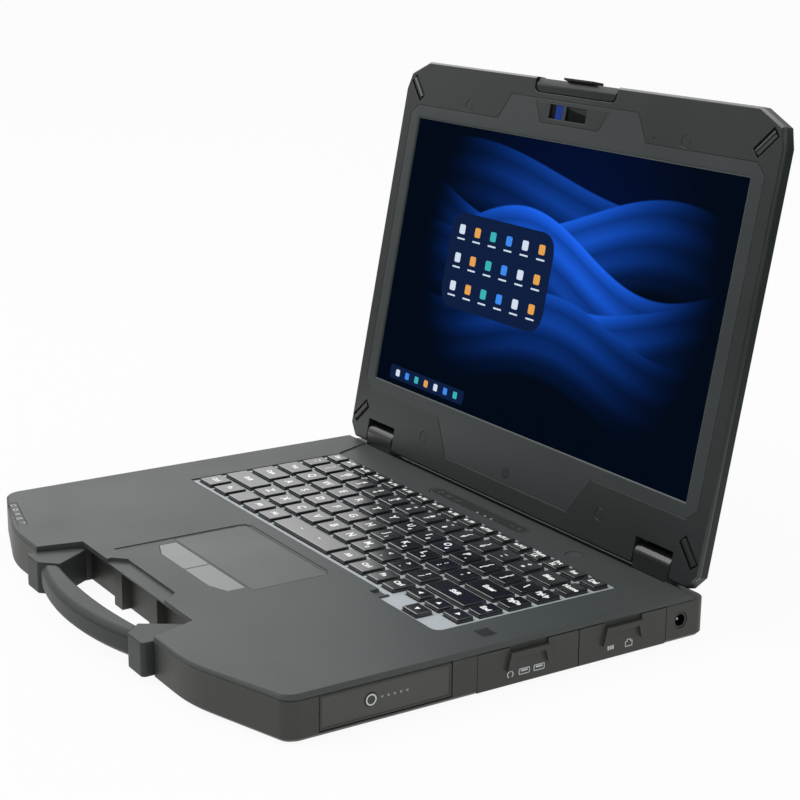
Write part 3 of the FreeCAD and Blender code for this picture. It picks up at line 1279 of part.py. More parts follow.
def make_hinges():
    """The hinge blocks on the base and the steel pins that the lid turns on."""
    for side, label in ((-1, "hinge_block_left"), (1, "hinge_block_right")):
        low = side * hinge_middle - mm.hinge_half
        high = side * hinge_middle + mm.hinge_half
        foot = prism(f"{label}_foot", "YZ_Plane", [
            (hinge_y - mm.hinge_foot_front, seam_height), (hinge_y + mm.hinge_foot_back, seam_height),
            (hinge_y + mm.barrel_radius, hinge_z), (hinge_y - mm.barrel_radius, hinge_z),
        ], low, high)
        barrel = rod(f"{label}_barrel", "x", (hinge_y, hinge_z), mm.barrel_radius, low, high)
        bore = rod(f"{label}_bore", "x", (hinge_y, hinge_z), mm.pin_radius + mm.pin_gap,
                   low - mm.wall, high + mm.wall)
        piece(label, cut(f"{label}_whole", joined(f"{label}_solid", [foot, barrel]), [bore]))
    pins = [rod(f"hinge_pin_{index}", "x", (0, 0), mm.pin_radius, low, high)
            for index, (low, high) in enumerate(pin_limits())]
    lid_piece("hinge_pins", group("pin_group", pins))


def write_parts():
    """Checks every object and writes each piece to its own file."""
    doc.recompute()
    failed = [thing.Name for thing in doc.Objects if {"Invalid", "Error"} & set(thing.State)]
    if failed:
        raise RuntimeError(f"objects failed: {failed}")
    os.makedirs("parts", exist_ok=True)
    for shape in pieces:
        if shape.Shape.isNull() or not shape.Shape.isValid():
            raise RuntimeError(f"{shape.Label} is not a valid solid")
        shape.Shape.exportStep(f"parts/{shape.Label}.step")


make_base_case()
make_top_cover()
make_keyboard()
make_deck_controls()
make_handle()
make_battery()
make_sides()
make_inside()
make_underside()
make_lid_back()
make_bezel()
make_screen()
make_camera()
make_latch()
make_hinges()
write_parts()
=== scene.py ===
"""Looks of a rugged laptop with a carry handle: finishes, rounded edges, key legends, marks and studio.

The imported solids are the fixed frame, in metres: X to the user's right, Y to the back, Z up, with the
floor at zero. Pieces of the screen half are drawn flat from the hinge line, x to the right, y up the
screen and z out of it, and are then stood up by lid_stand().
"""
import json
import math

import bmesh
import bpy
from mathutils import Matrix, Vector


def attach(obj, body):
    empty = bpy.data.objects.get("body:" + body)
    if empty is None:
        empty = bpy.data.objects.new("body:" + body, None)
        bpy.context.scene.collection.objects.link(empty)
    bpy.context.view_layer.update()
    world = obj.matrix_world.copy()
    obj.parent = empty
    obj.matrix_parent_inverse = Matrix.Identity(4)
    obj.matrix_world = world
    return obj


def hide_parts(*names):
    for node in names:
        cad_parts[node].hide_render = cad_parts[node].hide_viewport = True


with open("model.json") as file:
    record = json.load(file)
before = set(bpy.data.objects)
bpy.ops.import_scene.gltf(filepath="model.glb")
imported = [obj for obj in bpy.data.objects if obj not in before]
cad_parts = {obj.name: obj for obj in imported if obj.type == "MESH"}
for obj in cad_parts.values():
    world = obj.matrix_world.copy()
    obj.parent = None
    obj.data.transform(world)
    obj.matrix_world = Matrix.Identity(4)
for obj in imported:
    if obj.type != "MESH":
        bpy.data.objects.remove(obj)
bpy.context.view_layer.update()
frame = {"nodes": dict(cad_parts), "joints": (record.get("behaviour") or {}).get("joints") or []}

bl_info = {
    "name": "Rugged laptop looks",
    "version": (1, 0, 0),
    "blender": (4, 5, 0),
    "location": "3D View > Sidebar > Laptop",
    "description": "Dresses the solids of a rugged laptop with finishes, legends and marks",
    "category": "Object",
}

MM = 0.001
SCREEN_WIDTH = 309.4 * MM
SCREEN_HEIGHT = 174.0 * MM
SCREEN_LOW = 37.0 * MM
SCREEN_FACE = 4.5 * MM
FILM_LIFT = 0.05 * MM
LID_LEAN = math.radians(10.8)


def linear(code):
    """The linear colour of an sRGB hex value."""
    parts = [int(code[start:start + 2], 16) / 255 for start in (0, 2, 4)]
    return [part / 12.92 if part <= 0.04045 else ((part + 0.055) / 1.055) ** 2.4 for part in parts]


def colour(name, description, code):
    return bpy.props.FloatVectorProperty(
        name=name, description=description, subtype="COLOR", size=3, min=0, max=1, default=linear(code))


def length(name, description, millimetres):
    return bpy.props.FloatProperty(
        name=name, description=description, unit="LENGTH", min=0, precision=5, default=millimetres * MM)


class LaptopSizes(bpy.types.PropertyGroup):
    """Lengths that change how the finished pieces look, not the size of the laptop."""

    shell_edge: length("Shell edge", "Rounding of the edges of the case, deck and lid", 0.5)
    small_edge: length("Small edge", "Rounding of the edges of doors, buttons and trim", 0.25)
    grip_edge: length("Grip edge", "Rounding of the edges of the carry handle", 1.2)
    key_corner: length("Key corner", "Radius of a keycap's corners seen from above", 0.7)
    key_edge: length("Key edge", "Height of the rounding along a keycap's top", 0.3)
    key_taper: length("Key taper", "How far a keycap's sides lean in", 0.4)
    letter_height: length("Letter height", "Type size of the main letter on a key", 7.2)
    word_height: length("Word height", "Type size of the words on a key", 4.6)
    letter_weight: length("Letter weight", "How far the strokes of the letters are thickened", 0.2)
    line_width: length("Line width", "Width of printed lines", 0.45)
    print_lift: length("Print lift", "How far printed marks stand off their surface", 0.03)
    screw_radius: length("Screw radius", "Radius of the screw heads on the underside", 2.8)
    screw_height: length("Screw height", "How far the screw heads stand off the underside", 0.6)


class LaptopColours(bpy.types.PropertyGroup):
    """Colours of the finishes."""

    shell: colour("Shell", "Moulded charcoal plastic of the case", "3A3C37")
    deck: colour("Deck", "Moulded charcoal plastic of the palm rest", "454A49")
    bezel: colour("Bezel", "Plastic of the lid and round the screen", "1A2121")
    surround: colour("Surround", "Inner frame of the screen", "2B3333")
    keys: colour("Keys", "Keycaps", "1B1D1E")
    web: colour("Web", "Painted web between the keys", "C4CCCF")
    grip: colour("Grip", "Carry handle", "3A3D3C")
    rubber: colour("Rubber", "Bumpers and feet", "1E1F1F")
    prints: colour("Prints", "Letters on the keys", "F2F4F4")
    marks: colour("Marks", "Small printed marks", "C9CDCD")
    faint_marks: colour("Faint marks", "Marks that only show close up", "5C6266")
    shutter: colour("Shutter", "Tab of the camera shutter", "0A3384")
    screen_night: colour("Screen night", "Darkest blue on the screen", "010816")
    screen_deep: colour("Screen deep", "Blue in the valleys on the screen", "04164E")
    screen_bright: colour("Screen bright", "Blue of the crests on the screen", "1F6BFF")


def hinge_line():
    joint = [item for item in frame["joints"] if item["name"] == "lid_hinge"][0]
    return Vector(joint["pos_m"])


def lid_stand():
    """Stands a piece that is drawn flat from the hinge line up on the open lid."""
    return Matrix.Translation(hinge_line()) @ Matrix.Rotation(math.pi / 2 - LID_LEAN, 4, "X")


def sizes():
    return bpy.context.scene.laptop_sizes


def colours():
    return bpy.context.scene.laptop_colours


def add_node(tree, kind, inputs=None, **settings):
    """Adds a node with its settings; an input is given a value or linked to an output."""
    made = tree.nodes.new(kind)
    for name, value in settings.items():
        setattr(made, name, value)
    for key, value in (inputs or {}).items():
        socket = made.inputs[key]
        if isinstance(value, bpy.types.NodeSocket):
            tree.links.new(value, socket)
        else:
            socket.default_value = value
    return made


def new_material(name):
    """An empty material with its output and one surface shader."""
    material = bpy.data.materials.new(name)
    material.use_nodes = True
    tree = material.node_tree
    tree.nodes.clear()
    shader = add_node(tree, "ShaderNodeBsdfPrincipled")
    add_node(tree, "ShaderNodeOutputMaterial", {"Surface": shader.outputs["BSDF"]})
    return material, tree, shader


def rgba(tint, factor=1.0):
    return [part * factor for part in tint] + [1.0]


NOISE_SPAN = {"From Min": 0.3, "From Max": 0.7}
CLOUD_WIDTH = 45 * MM
SPECK_SPREAD = 0.06
GLOSS_SPREAD = 0.03
PLASTIC_IOR = 1.5


def moulded_plastic(name, tint, roughness, grain, depth, clouding=0.06, specular=0.5):
    """ABS from an etched mould: an even colour, a fine pebble that breaks up the shine, faint clouding.

    The real pebble is about 0.2 mm and too fine to show, so it is drawn as coarse as grain says.
    """
    if name in bpy.data.materials:
        return bpy.data.materials[name]
    material, tree, shader = new_material(name)
    place = add_node(tree, "ShaderNodeTexCoord").outputs["Object"]
    pebble = add_node(tree, "ShaderNodeTexNoise",
                      {"Vector": place, "Scale": 1 / grain, "Detail": 2.0, "Roughness": 0.6}).outputs["Fac"]
    cloud = add_node(tree, "ShaderNodeTexNoise",
                     {"Vector": place, "Scale": 1 / CLOUD_WIDTH, "Detail": 3.0}).outputs["Fac"]
    shade, speck, gloss = [
        add_node(tree, "ShaderNodeMapRange",
                 {"Value": noise, **NOISE_SPAN, "To Min": middle - spread,
                  "To Max": middle + spread}).outputs["Result"]
        for noise, middle, spread in (
            (cloud, 1, clouding), (pebble, 1, SPECK_SPREAD), (cloud, roughness, GLOSS_SPREAD))
    ]
    level = add_node(tree, "ShaderNodeMath", {0: shade, 1: speck}, operation="MULTIPLY")
    tone = add_node(tree, "ShaderNodeVectorMath",
                    {0: list(tint), "Scale": level.outputs["Value"]}, operation="SCALE")
    bump = add_node(tree, "ShaderNodeBump", {"Height": pebble, "Distance": depth, "Strength": 1.0})
    tree.links.new(tone.outputs["Vector"], shader.inputs["Base Color"])
    tree.links.new(gloss, shader.inputs["Roughness"])
    tree.links.new(bump.outputs["Normal"], shader.inputs["Normal"])
    shader.inputs["IOR"].default_value = PLASTIC_IOR
    shader.inputs["Specular IOR Level"].default_value = specular
    return material


def shell_plastic():
    """Coarsely etched ABS of the case: dull all over."""
    return moulded_plastic("charcoal_abs_etched", colours().shell, 0.46, 0.9 * MM, 0.03 * MM, specular=0.35)


def deck_plastic():
    """Finely etched ABS of the palm rest: a soft sheen at low angles."""
    return moulded_plastic("deck_abs_etched", colours().deck, 0.47, 0.8 * MM, 0.005 * MM, specular=0.24)


def lid_plastic():
    """Dark ABS of the lid's back and flanks, coarsely etched and dull like the case."""
    return moulded_plastic("lid_abs_etched", colours().bezel, 0.46, 0.9 * MM, 0.03 * MM, specular=0.35)


def bezel_plastic():
    """Finely etched ABS round the screen: dark, with a sheen that follows the room."""
    return moulded_plastic("bezel_abs_fine_etched", colours().bezel, 0.36, 0.7 * MM, 0.01 * MM, specular=0.9)


def surround_plastic():
    """The same plastic a shade lighter, as the inner frame is moulded apart."""
    return moulded_plastic("surround_abs_fine_etched", colours().surround, 0.34, 0.7 * MM, 0.01 * MM,
                           specular=0.9)


def key_plastic():
    """Satin ABS keycaps: smooth tops that mirror the room at low angles."""
    return moulded_plastic("keycap_abs_satin", colours().keys, 0.2, 0.6 * MM, 0.002 * MM, specular=1.0)


def grip_plastic():
    """Elastomer moulded over the handle: dull, soft to the eye."""
    return moulded_plastic("grip_tpe_overmould", colours().grip, 0.45, 0.9 * MM, 0.02 * MM, specular=0.2)


def black_rubber():
    """Moulded black rubber: darker than the plastic, with a smooth skin."""
    return moulded_plastic("black_rubber_moulded", colours().rubber, 0.26, 1.0 * MM, 0.006 * MM, specular=0.8)


def gloss_plastic():
    """Polished black polycarbonate: near mirror smooth, with a faint orange peel."""
    return moulded_plastic("black_polycarbonate_polished", linear("0E0F10"), 0.2, 6 * MM, 0.01 * MM)


def barrel_paint():
    """Black powder coat on the hinge castings: a soft highlight along the barrel."""
    return moulded_plastic("hinge_zinc_powder_coat", linear("17191A"), 0.24, 0.8 * MM, 0.004 * MM,
                           specular=0.9)


def web_paint():
    """Pale grey paint on sheet metal: even and satin, with a fine orange peel."""
    return moulded_plastic("web_satin_paint", colours().web, 0.45, 1.2 * MM, 0.01 * MM, 0.03)


def printed_ink(name, tint, glow=0.0):
    """Screen-printed ink: flat white with a slightly uneven cover; on the keys glow gives it a painted glow
    that brightens the letters, though nothing lights them from behind.
    """
    material = moulded_plastic(name, tint, 0.55, 0.5 * MM, 0.004 * MM, 0.02)
    shader = next(node for node in material.node_tree.nodes if node.type == "BSDF_PRINCIPLED")
    # Painted glow: the ink emits its own colour at the strength glow, though it is no lamp.
    shader.inputs["Emission Color"].default_value = rgba(tint)
    shader.inputs["Emission Strength"].default_value = glow
    return material


SCRATCH_LENGTH = 25 * MM
SCRATCH_WIDTH = MM / 1.2


def machined_metal(name, code, roughness):
    """Turned or stamped metal: fine scratches along one way spread the shine."""
    if name in bpy.data.materials:
        return bpy.data.materials[name]
    material, tree, shader = new_material(name)
    place = add_node(tree, "ShaderNodeTexCoord").outputs["Object"]
    stretched = add_node(
        tree, "ShaderNodeMapping",
        {"Vector": place, "Scale": (1 / SCRATCH_LENGTH, 1 / SCRATCH_WIDTH, 1 / SCRATCH_WIDTH)})
    scratch = add_node(tree, "ShaderNodeTexNoise",
                       {"Vector": stretched.outputs["Vector"], "Scale": 1.0}).outputs["Fac"]
    gloss = add_node(tree, "ShaderNodeMapRange",
                     {"Value": scratch, "To Min": roughness - 0.08, "To Max": roughness + 0.1})
    tint = linear(code)
    tone = add_node(tree, "ShaderNodeMix",
                    {"Factor": scratch, "A": rgba(tint, 0.9), "B": rgba(tint)}, data_type="RGBA")
    tree.links.new(tone.outputs["Result"], shader.inputs["Base Color"])
    tree.links.new(gloss.outputs["Result"], shader.inputs["Roughness"])
    shader.inputs["Metallic"].default_value = 1.0
    return material


def link_piece(name, mesh):
    piece = bpy.data.objects.new(name, mesh)
    bpy.context.collection.objects.link(piece)
    return piece


WELD_GAP = 1e-6
FLAT_ANGLE = math.radians(0.2)
EDGE_ANGLE = math.radians(32)


def welded(*nodes):
    """A welded copy of CAD nodes, with their flat faces made whole again."""
    shape = bmesh.new()
    for node in nodes:
        shape.from_mesh(frame["nodes"][node].data)
    bmesh.ops.remove_doubles(shape, verts=shape.verts, dist=WELD_GAP)
    bmesh.ops.dissolve_limit(shape, angle_limit=FLAT_ANGLE, verts=shape.verts, edges=shape.edges)
    return shape


def finish_mesh(name, shape):
    mesh = bpy.data.meshes.new(name)
    shape.to_mesh(mesh)
    shape.free()
    mesh.polygons.foreach_set("use_smooth", [True] * len(mesh.polygons))
    return mesh


def round_edges(piece, width):
    """Gives a piece the small rounded edges of a moulding."""
    bevel = piece.modifiers.new("rounded edges", "BEVEL")
    bevel.width = width
    bevel.segments = 2
    bevel.limit_method = "ANGLE"
    bevel.angle_limit = EDGE_ANGLE
    bevel.use_clamp_overlap = True
    even = piece.modifiers.new("even shading", "WEIGHTED_NORMAL")
    even.keep_sharp = False
    even.weight = 60


def dressed(name, body, slot, material, width, *nodes):
    """A copy of CAD nodes with rounded edges and a finish, which stands for them."""
    mesh = finish_mesh(name, welded(*nodes))
    piece = link_piece(name, mesh)
    mesh.materials.append(material)
    round_edges(piece, width)
    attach(piece, body)
    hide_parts(*nodes)


def repaint(material, *nodes):
    """Gives CAD nodes that stay as they are a finish."""
    for node in nodes:
        for place in frame["nodes"][node].material_slots:
            place.material = material


def islands(node):
    """The lowest and highest corner of every separate solid of a node, from left to right."""
    shape = bmesh.new()
    shape.from_mesh(frame["nodes"][node].data)
    bmesh.ops.remove_doubles(shape, verts=shape.verts, dist=WELD_GAP)
    left = set(shape.verts)
    found = []
    while left:
        reached = [left.pop()]
        points = []
        while reached:
            vertex = reached.pop()
            points.append(vertex.co.copy())
            for edge in vertex.link_edges:
                other = edge.other_vert(vertex)
                if other in left:
                    left.remove(other)
                    reached.append(other)
        low = Vector([min(point[axis] for point in points) for axis in range(3)])
        high = Vector([max(point[axis] for point in points) for axis in range(3)])
        found.append((low, high))
    shape.free()
    return sorted(found, key=lambda corners: (corners[0].x, corners[0].y))


def new_tree(name, sockets):
    """A node tree for shapes, with a geometry going in and out and its named inputs."""
    tree = bpy.data.node_groups.new(name, "GeometryNodeTree")
    tree.interface.new_socket("Geometry", in_out="INPUT", socket_type="NodeSocketGeometry")
    for label, kind in sockets.items():
        tree.interface.new_socket(label, in_out="INPUT", socket_type=f"NodeSocket{kind}")
    tree.interface.new_socket("Geometry", in_out="OUTPUT", socket_type="NodeSocketGeometry")
    return tree, add_node(tree, "NodeGroupInput")


def grown(name, tree, points, attributes, settings):
    """Runs a tree on a set of points and keeps its result as a plain mesh."""
    seeds = bpy.data.meshes.new(f"{name}_points")
    seeds.from_pydata([tuple(point) for point in points], [], [])
    for label, values in attributes.items():
        store = seeds.attributes.new(label, "FLOAT_VECTOR", "POINT")
        store.data.foreach_set("vector", [part for value in values for part in value])
    carrier = link_piece(f"{name}_points", seeds)
    modifier = carrier.modifiers.new(tree.name, "NODES")
    modifier.node_group = tree
    for item in tree.interface.items_tree:
        if item.in_out == "INPUT" and item.name in settings:
            modifier[item.identifier] = settings[item.name]
    depsgraph = bpy.context.evaluated_depsgraph_get()
    mesh = bpy.data.meshes.new_from_object(carrier.evaluated_get(depsgraph), depsgraph=depsgraph)
    mesh.name = name
    bpy.data.objects.remove(carrier)
    bpy.data.meshes.remove(seeds)
    mesh.polygons.foreach_set("use_smooth", [True] * len(mesh.polygons))
    return link_piece(name, mesh)


def spread_copies(tree, points, shape, turn=(0, 0, 0)):
    """Real copies of a shape, one on every point."""
    copies = add_node(tree, "GeometryNodeInstanceOnPoints",
                      {"Points": points, "Instance": shape, "Rotation": turn})
    whole = add_node(tree, "GeometryNodeRealizeInstances", {"Geometry": copies.outputs["Instances"]})
    return whole.outputs["Geometry"]


def end_tree(tree, given, shape):
    """Paints a tree's shape with the material that it is given, and hands it out."""
    painted = add_node(tree, "GeometryNodeSetMaterial",
                       {"Geometry": shape, "Material": given.outputs["Material"]})
    add_node(tree, "NodeGroupOutput", {"Geometry": painted.outputs["Geometry"]})
    return tree


BLOCK_LINES = 6
INNER_LINE = 1 / (BLOCK_LINES - 1)


def rounded_block_tree():
    """Blocks with rounded corners and leaning sides, one on every point, each of its own size.

    Every point carries half_size. A block starts as a cube whose outer grid lines are pulled into
    the corners, so that all blocks keep the same corner radius whatever their size.
    """
    if "rounded_blocks" in bpy.data.node_groups:
        return bpy.data.node_groups["rounded_blocks"]
    tree, given = new_tree("rounded_blocks", {"Radius": "Vector", "Taper": "Float", "Material": "Material"})
    radius = given.outputs["Radius"]
    cube = add_node(tree, "GeometryNodeMeshCube",
                    {"Size": (2, 2, 2), **{f"Vertices {axis}": BLOCK_LINES for axis in "XYZ"}})
    place = add_node(tree, "GeometryNodeInputPosition").outputs["Position"]
    marked, points = [
        add_node(tree, "GeometryNodeStoreNamedAttribute", {"Geometry": shape, "Name": label, "Value": place},
                 data_type="FLOAT_VECTOR", domain="POINT").outputs["Geometry"]
        for label, shape in (("corner", cube.outputs["Mesh"]), ("middle", given.outputs["Geometry"]))
    ]
    whole = spread_copies(tree, points, marked)
    corner, middle, half_size = [
        add_node(tree, "GeometryNodeInputNamedAttribute", {"Name": label},
                 data_type="FLOAT_VECTOR").outputs["Attribute"]
        for label in ("corner", "middle", "half_size")
    ]
    size = add_node(tree, "ShaderNodeVectorMath", {0: corner}, operation="ABSOLUTE")
    into = add_node(tree, "ShaderNodeVectorMath",
                    {0: size.outputs["Vector"], 1: [INNER_LINE] * 3}, operation="SUBTRACT")
    round_way = add_node(tree, "ShaderNodeVectorMath", {0: into.outputs["Vector"]}, operation="NORMALIZE")
    core = add_node(tree, "ShaderNodeVectorMath", {0: half_size, 1: radius}, operation="SUBTRACT")
    reach = add_node(tree, "ShaderNodeVectorMath",
                     {0: round_way.outputs["Vector"], 1: radius, 2: core.outputs["Vector"]},
                     operation="MULTIPLY_ADD")
    height = add_node(tree, "ShaderNodeSeparateXYZ", {0: corner}).outputs["Z"]
    share = add_node(tree, "ShaderNodeMath", {0: height, 1: 0.5, 2: 0.5}, operation="MULTIPLY_ADD")
    lean = add_node(tree, "ShaderNodeMath",
                    {0: share.outputs["Value"], 1: given.outputs["Taper"]}, operation="MULTIPLY")
    inset = add_node(tree, "ShaderNodeCombineXYZ", {axis: lean.outputs["Value"] for axis in "XY"})
    tapered = add_node(tree, "ShaderNodeVectorMath",
                       {0: reach.outputs["Vector"], 1: inset.outputs["Vector"]}, operation="SUBTRACT")
    side = add_node(tree, "ShaderNodeVectorMath", {0: corner}, operation="SIGN")
    moved = add_node(tree, "ShaderNodeVectorMath",
                     {0: side.outputs["Vector"], 1: tapered.outputs["Vector"], 2: middle},
                     operation="MULTIPLY_ADD")
    placed = add_node(tree, "GeometryNodeSetPosition",
                      {"Geometry": whole, "Position": moved.outputs["Vector"]})
    return end_tree(tree, given, placed.outputs["Geometry"])


def blocks(name, corners, radius, taper, material):
    """Rounded blocks between pairs of corners."""
    points = [(low + high) / 2 for low, high in corners]
    halves = [(high - low) / 2 for low, high in corners]
    piece = grown(name, rounded_block_tree(), points, {"half_size": halves},
                  {"Radius": radius, "Taper": taper, "Material": material})
    even = piece.modifiers.new("even shading", "WEIGHTED_NORMAL")
    even.keep_sharp = False
    return piece


def text_shape(shape, text, size, place):
    """Adds flat letters to a mesh, centred on a place and turned by its matrix."""
    curve = bpy.data.curves.new("letters", "FONT")
    curve.body = text
    curve.size = size
    curve.offset = sizes().letter_weight
    curve.align_x = "CENTER"
    curve.align_y = "CENTER"
    curve.resolution_u = 3
    curve.space_line = 0.85
    writer = bpy.data.objects.new("letters", curve)
    bpy.context.collection.objects.link(writer)
    depsgraph = bpy.context.evaluated_depsgraph_get()
    flat = bpy.data.meshes.new_from_object(writer.evaluated_get(depsgraph), depsgraph=depsgraph)
    flat.transform(place)
    shape.from_mesh(flat)
    bpy.data.objects.remove(writer)
    bpy.data.curves.remove(curve)
    bpy.data.meshes.remove(flat)


def polygon(shape, points, place):
    """Adds one flat face to a mesh."""
    shape.faces.new([shape.verts.new(place @ Vector((x, y, 0))) for x, y in points])


def stroke(shape, points, width, place, closed=True):
    """Adds a flat line of one width along points, mitred where it turns."""
    rims = []
    last = len(points) - 1
    for index, point in enumerate(points):
        here = Vector(point)
        ahead = Vector(points[index + 1 if index < last else 0])
        behind = Vector(points[index - 1])
        if not closed and index == 0:
            behind = here * 2 - ahead
        if not closed and index == last:
            ahead = here * 2 - behind
        arriving = (here - behind).normalized()
        leaving = (ahead - here).normalized()
        across = Vector((-arriving.y - leaving.y, arriving.x + leaving.x))
        across = across * (width / 2 / (1 + arriving.dot(leaving)))
        rims.append([shape.verts.new(place @ (here + across * side).to_3d()) for side in (-1, 1)])
    for before, after in zip(rims, rims[1:] + rims[:1] if closed else rims[1:]):
        shape.faces.new([before[0], after[0], after[1], before[1]])


def arc(radius, start=0.0, turn=360.0, steps=32):
    """Points along part of a circle, from angles in degrees."""
    angles = [math.radians(start + turn * step / steps) for step in range(steps + 1)]
    return [(radius * math.cos(angle), radius * math.sin(angle)) for angle in angles]


def disc(radius, steps=24):
    return arc(radius, steps=steps)[:-1]


def rounded(width, height, radius):
    """Points round a rectangle with rounded corners."""
    points = []
    for quarter, (right, up) in enumerate(((1, 1), (-1, 1), (-1, -1), (1, -1))):
        x = right * (width / 2 - radius)
        y = up * (height / 2 - radius)
        points += [(x + a, y + b) for a, b in arc(radius, 90 * quarter, 90, 5)]
    return points


def rectangle(width, height, x=0.0, y=0.0):
    return [(x - width / 2, y - height / 2), (x + width / 2, y - height / 2),
            (x + width / 2, y + height / 2), (x - width / 2, y + height / 2)]


def deck_mark(x, y, z):
    """Where a mark goes on a level face, from millimetres."""
    return Matrix.Translation(Vector((x, y, z)) * MM + Vector((0, 0, sizes().print_lift)))


def side_mark(x, y, z):
    """Where a mark goes on the right side, from millimetres: its x runs to the back and its y up."""
    turn = Matrix(((0, 0, 1, 0), (1, 0, 0, 0), (0, 1, 0, 0), (0, 0, 0, 1)))
    return Matrix.Translation(Vector((x, y, z)) * MM + Vector((sizes().print_lift, 0, 0))) @ turn


def lid_mark(x, y, z):
    """Where a mark goes on the front of the lid, from millimetres right, up and out of the hinge line."""
    return lid_stand() @ deck_mark(x, y, z)


def printed(name, body, shape, material):
    """Turns flat marks into a piece that rides on a body."""
    mesh = finish_mesh(name, shape)
    mesh.materials.append(material)
    piece = link_piece(name, mesh)
    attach(piece, body)
    return piece


def turned(shape, profile, place, steps=28):
    """Adds a closed turned form to a mesh; the profile gives radius and height from the back to the tip."""
    rims = [[shape.verts.new(place @ Vector((x, y, height))) for x, y in disc(radius, steps)]
            for radius, height in profile]
    for low, high in zip(rims, rims[1:]):
        for step in range(steps):
            following = (step + 1) % steps
            shape.faces.new([low[step], low[following], high[following], high[step]])
    shape.faces.new(rims[0][::-1])
    shape.faces.new(rims[-1])


class LAPTOP_OT_base(bpy.types.Operator):
    """Dress the lower case, the deck and the hatch in moulded plastic"""

    bl_idname = "laptop.base"
    bl_label = "Base and deck"

    def execute(self, context):
        edge = sizes().shell_edge
        small = sizes().small_edge
        dressed("lower_case", "base", "case_plastic", shell_plastic(), edge, "base_case")
        dressed("palm_rest", "base", "deck_plastic", deck_plastic(), edge, "top_cover")
        dressed("hatch", "base", "case_plastic", shell_plastic(), small, "service_hatch")
        dressed("battery_release", "battery_latch", "case_plastic", shell_plastic(), small, "battery_latch")
        dressed("feet", "base", "rubber", black_rubber(), edge, "rubber_feet")
        return {"FINISHED"}


class LAPTOP_OT_handle(bpy.types.Operator):
    """Dress the carry handle and its end collars"""

    bl_idname = "laptop.handle"
    bl_label = "Carry handle"

    def execute(self, context):
        collar_edge = sizes().shell_edge * 1.6
        dressed("grip", "base", "grip_plastic", grip_plastic(), sizes().grip_edge, "handle_grip")
        dressed("grip_collars", "base", "grip_plastic", grip_plastic(), collar_edge,
                "handle_collar_left", "handle_collar_right")
        return {"FINISHED"}


KEY_LEGENDS = {
    # From left to right. A bar parts the main letter, the one for shift and the one beside it.
    "key_row_function": ["Esc", "F1", "F2", "F3", "F4", "F5", "F6", "F7", "F8", "F9", "F10", "F11", "F12",
                         "Num\nLk", "Prt\nSc", "Ins", "Del"],
    "key_row_number": ["`|~", "1|!", "2|@", "3|#", "4|$", "5|%", "6|^", "7|&", "8|*", "9|(", "0|)",
                       "-|_", "=|+", "Bksp", "Home"],
    "key_row_upper": ["Tab", "Q", "W", "E", "R", "T", "Y", "U||4", "I||5", "O||6", "P||-", "[|{", "]|}",
                      "\\", "PgUp"],
    "key_row_home": ["Caps", "A", "S", "D", "F", "G", "H", "J||1", "K||2", "L||3", ";|:", "'|\"",
                     "Enter", "PgDn"],
    "key_row_lower": ["Shift", "Z", "X", "C", "V", "B", "N", "M||0", ",|<", ".|>", "/|?", "Shift", "End"],
    "key_row_bottom": ["Ctrl", "Fn", "", "Alt", "Alt", "Alt", "Ctrl", "Fn", "Ctrl"],
    "space_bar": ["space"],
    "arrow_keys": ["<", "v", "^", ">"],
}
KEY_ARROWS = {"<": math.pi / 2, "^": 0.0, ">": -math.pi / 2, "v": math.pi}
ARROW_SIGN = ((-1.7 * MM, -1.2 * MM), (1.7 * MM, -1.2 * MM), (0, 1.8 * MM))
# Painted glow of the key legends: emission that makes the printed letters brighter; the keys are not lit from
# behind.
LEGEND_PAINTED_GLOW = 0.35


def legend_texts(legend):
    """The texts on a key, each with its type size and its place from the key's middle in millimetres."""
    main, shifted, beside = (legend.split("|") + ["", ""])[:3]
    letter = sizes().letter_height
    word = sizes().word_height
    if shifted:
        return [(main, word, 0.0, -2.2), (shifted, word, 0.0, 2.4)]
    if beside:
        return [(main, letter * 0.85, -1.6, 1.0), (beside, word * 0.8, 3.0, -2.8)]
    return [(main, letter if len(main) == 1 else word, 0.0, 0.0)]


def key_legend(shape, legend, low, high):
    """Adds the white sign or letters of one key."""
    middle = (low + high) / 2

    def spot(right=0.0, up=0.0):
        return Matrix.Translation((middle.x + right * MM, middle.y + up * MM, high.z + sizes().print_lift))

    if legend in KEY_ARROWS:
        polygon(shape, ARROW_SIGN, spot() @ Matrix.Rotation(KEY_ARROWS[legend], 4, "Z"))
    elif legend == "space":
        for right in (-10, 10):
            polygon(shape, rectangle(2.8 * MM, 0.6 * MM), spot(right))
    elif legend[:1] == "F" and legend[1:].isdigit():
        polygon(shape, rounded(2.6 * MM, 2.2 * MM, 0.5 * MM), spot(-3.2))
        text_shape(shape, legend, sizes().word_height * 0.9, spot(1.9))
    elif legend:
        for text, size, right, up in legend_texts(legend):
            text_shape(shape, text, size, spot(right, up))


class LAPTOP_OT_keyboard(bpy.types.Operator):
    """Make the keycaps, their printed legends and the pale web between them"""

    bl_idname = "laptop.keyboard"
    bl_label = "Keyboard"

    def execute(self, context):
        radius = (sizes().key_corner, sizes().key_corner, sizes().key_edge)
        for node, legends in KEY_LEGENDS.items():
            keys = islands(node)
            if len(keys) != len(legends):
                raise RuntimeError(f"{node} has {len(keys)} keys")
            caps = blocks(f"{node}_caps", keys, radius, sizes().key_taper, key_plastic())
            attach(caps, node)
            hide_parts(node)
            letters = bmesh.new()
            for (low, high), legend in zip(keys, legends):
                key_legend(letters, legend, low, high)
            # The legend ink carries a painted glow that brightens the letters.
            ink = printed_ink("legend_ink", colours().prints, LEGEND_PAINTED_GLOW)
            printed(f"{node}_legends", node, letters, ink)
        dressed("key_web", "base", "plate_paint", web_paint(), sizes().small_edge, "keyboard_web")
        repaint(web_paint(), "keyboard_plate")
        return {"FINISHED"}


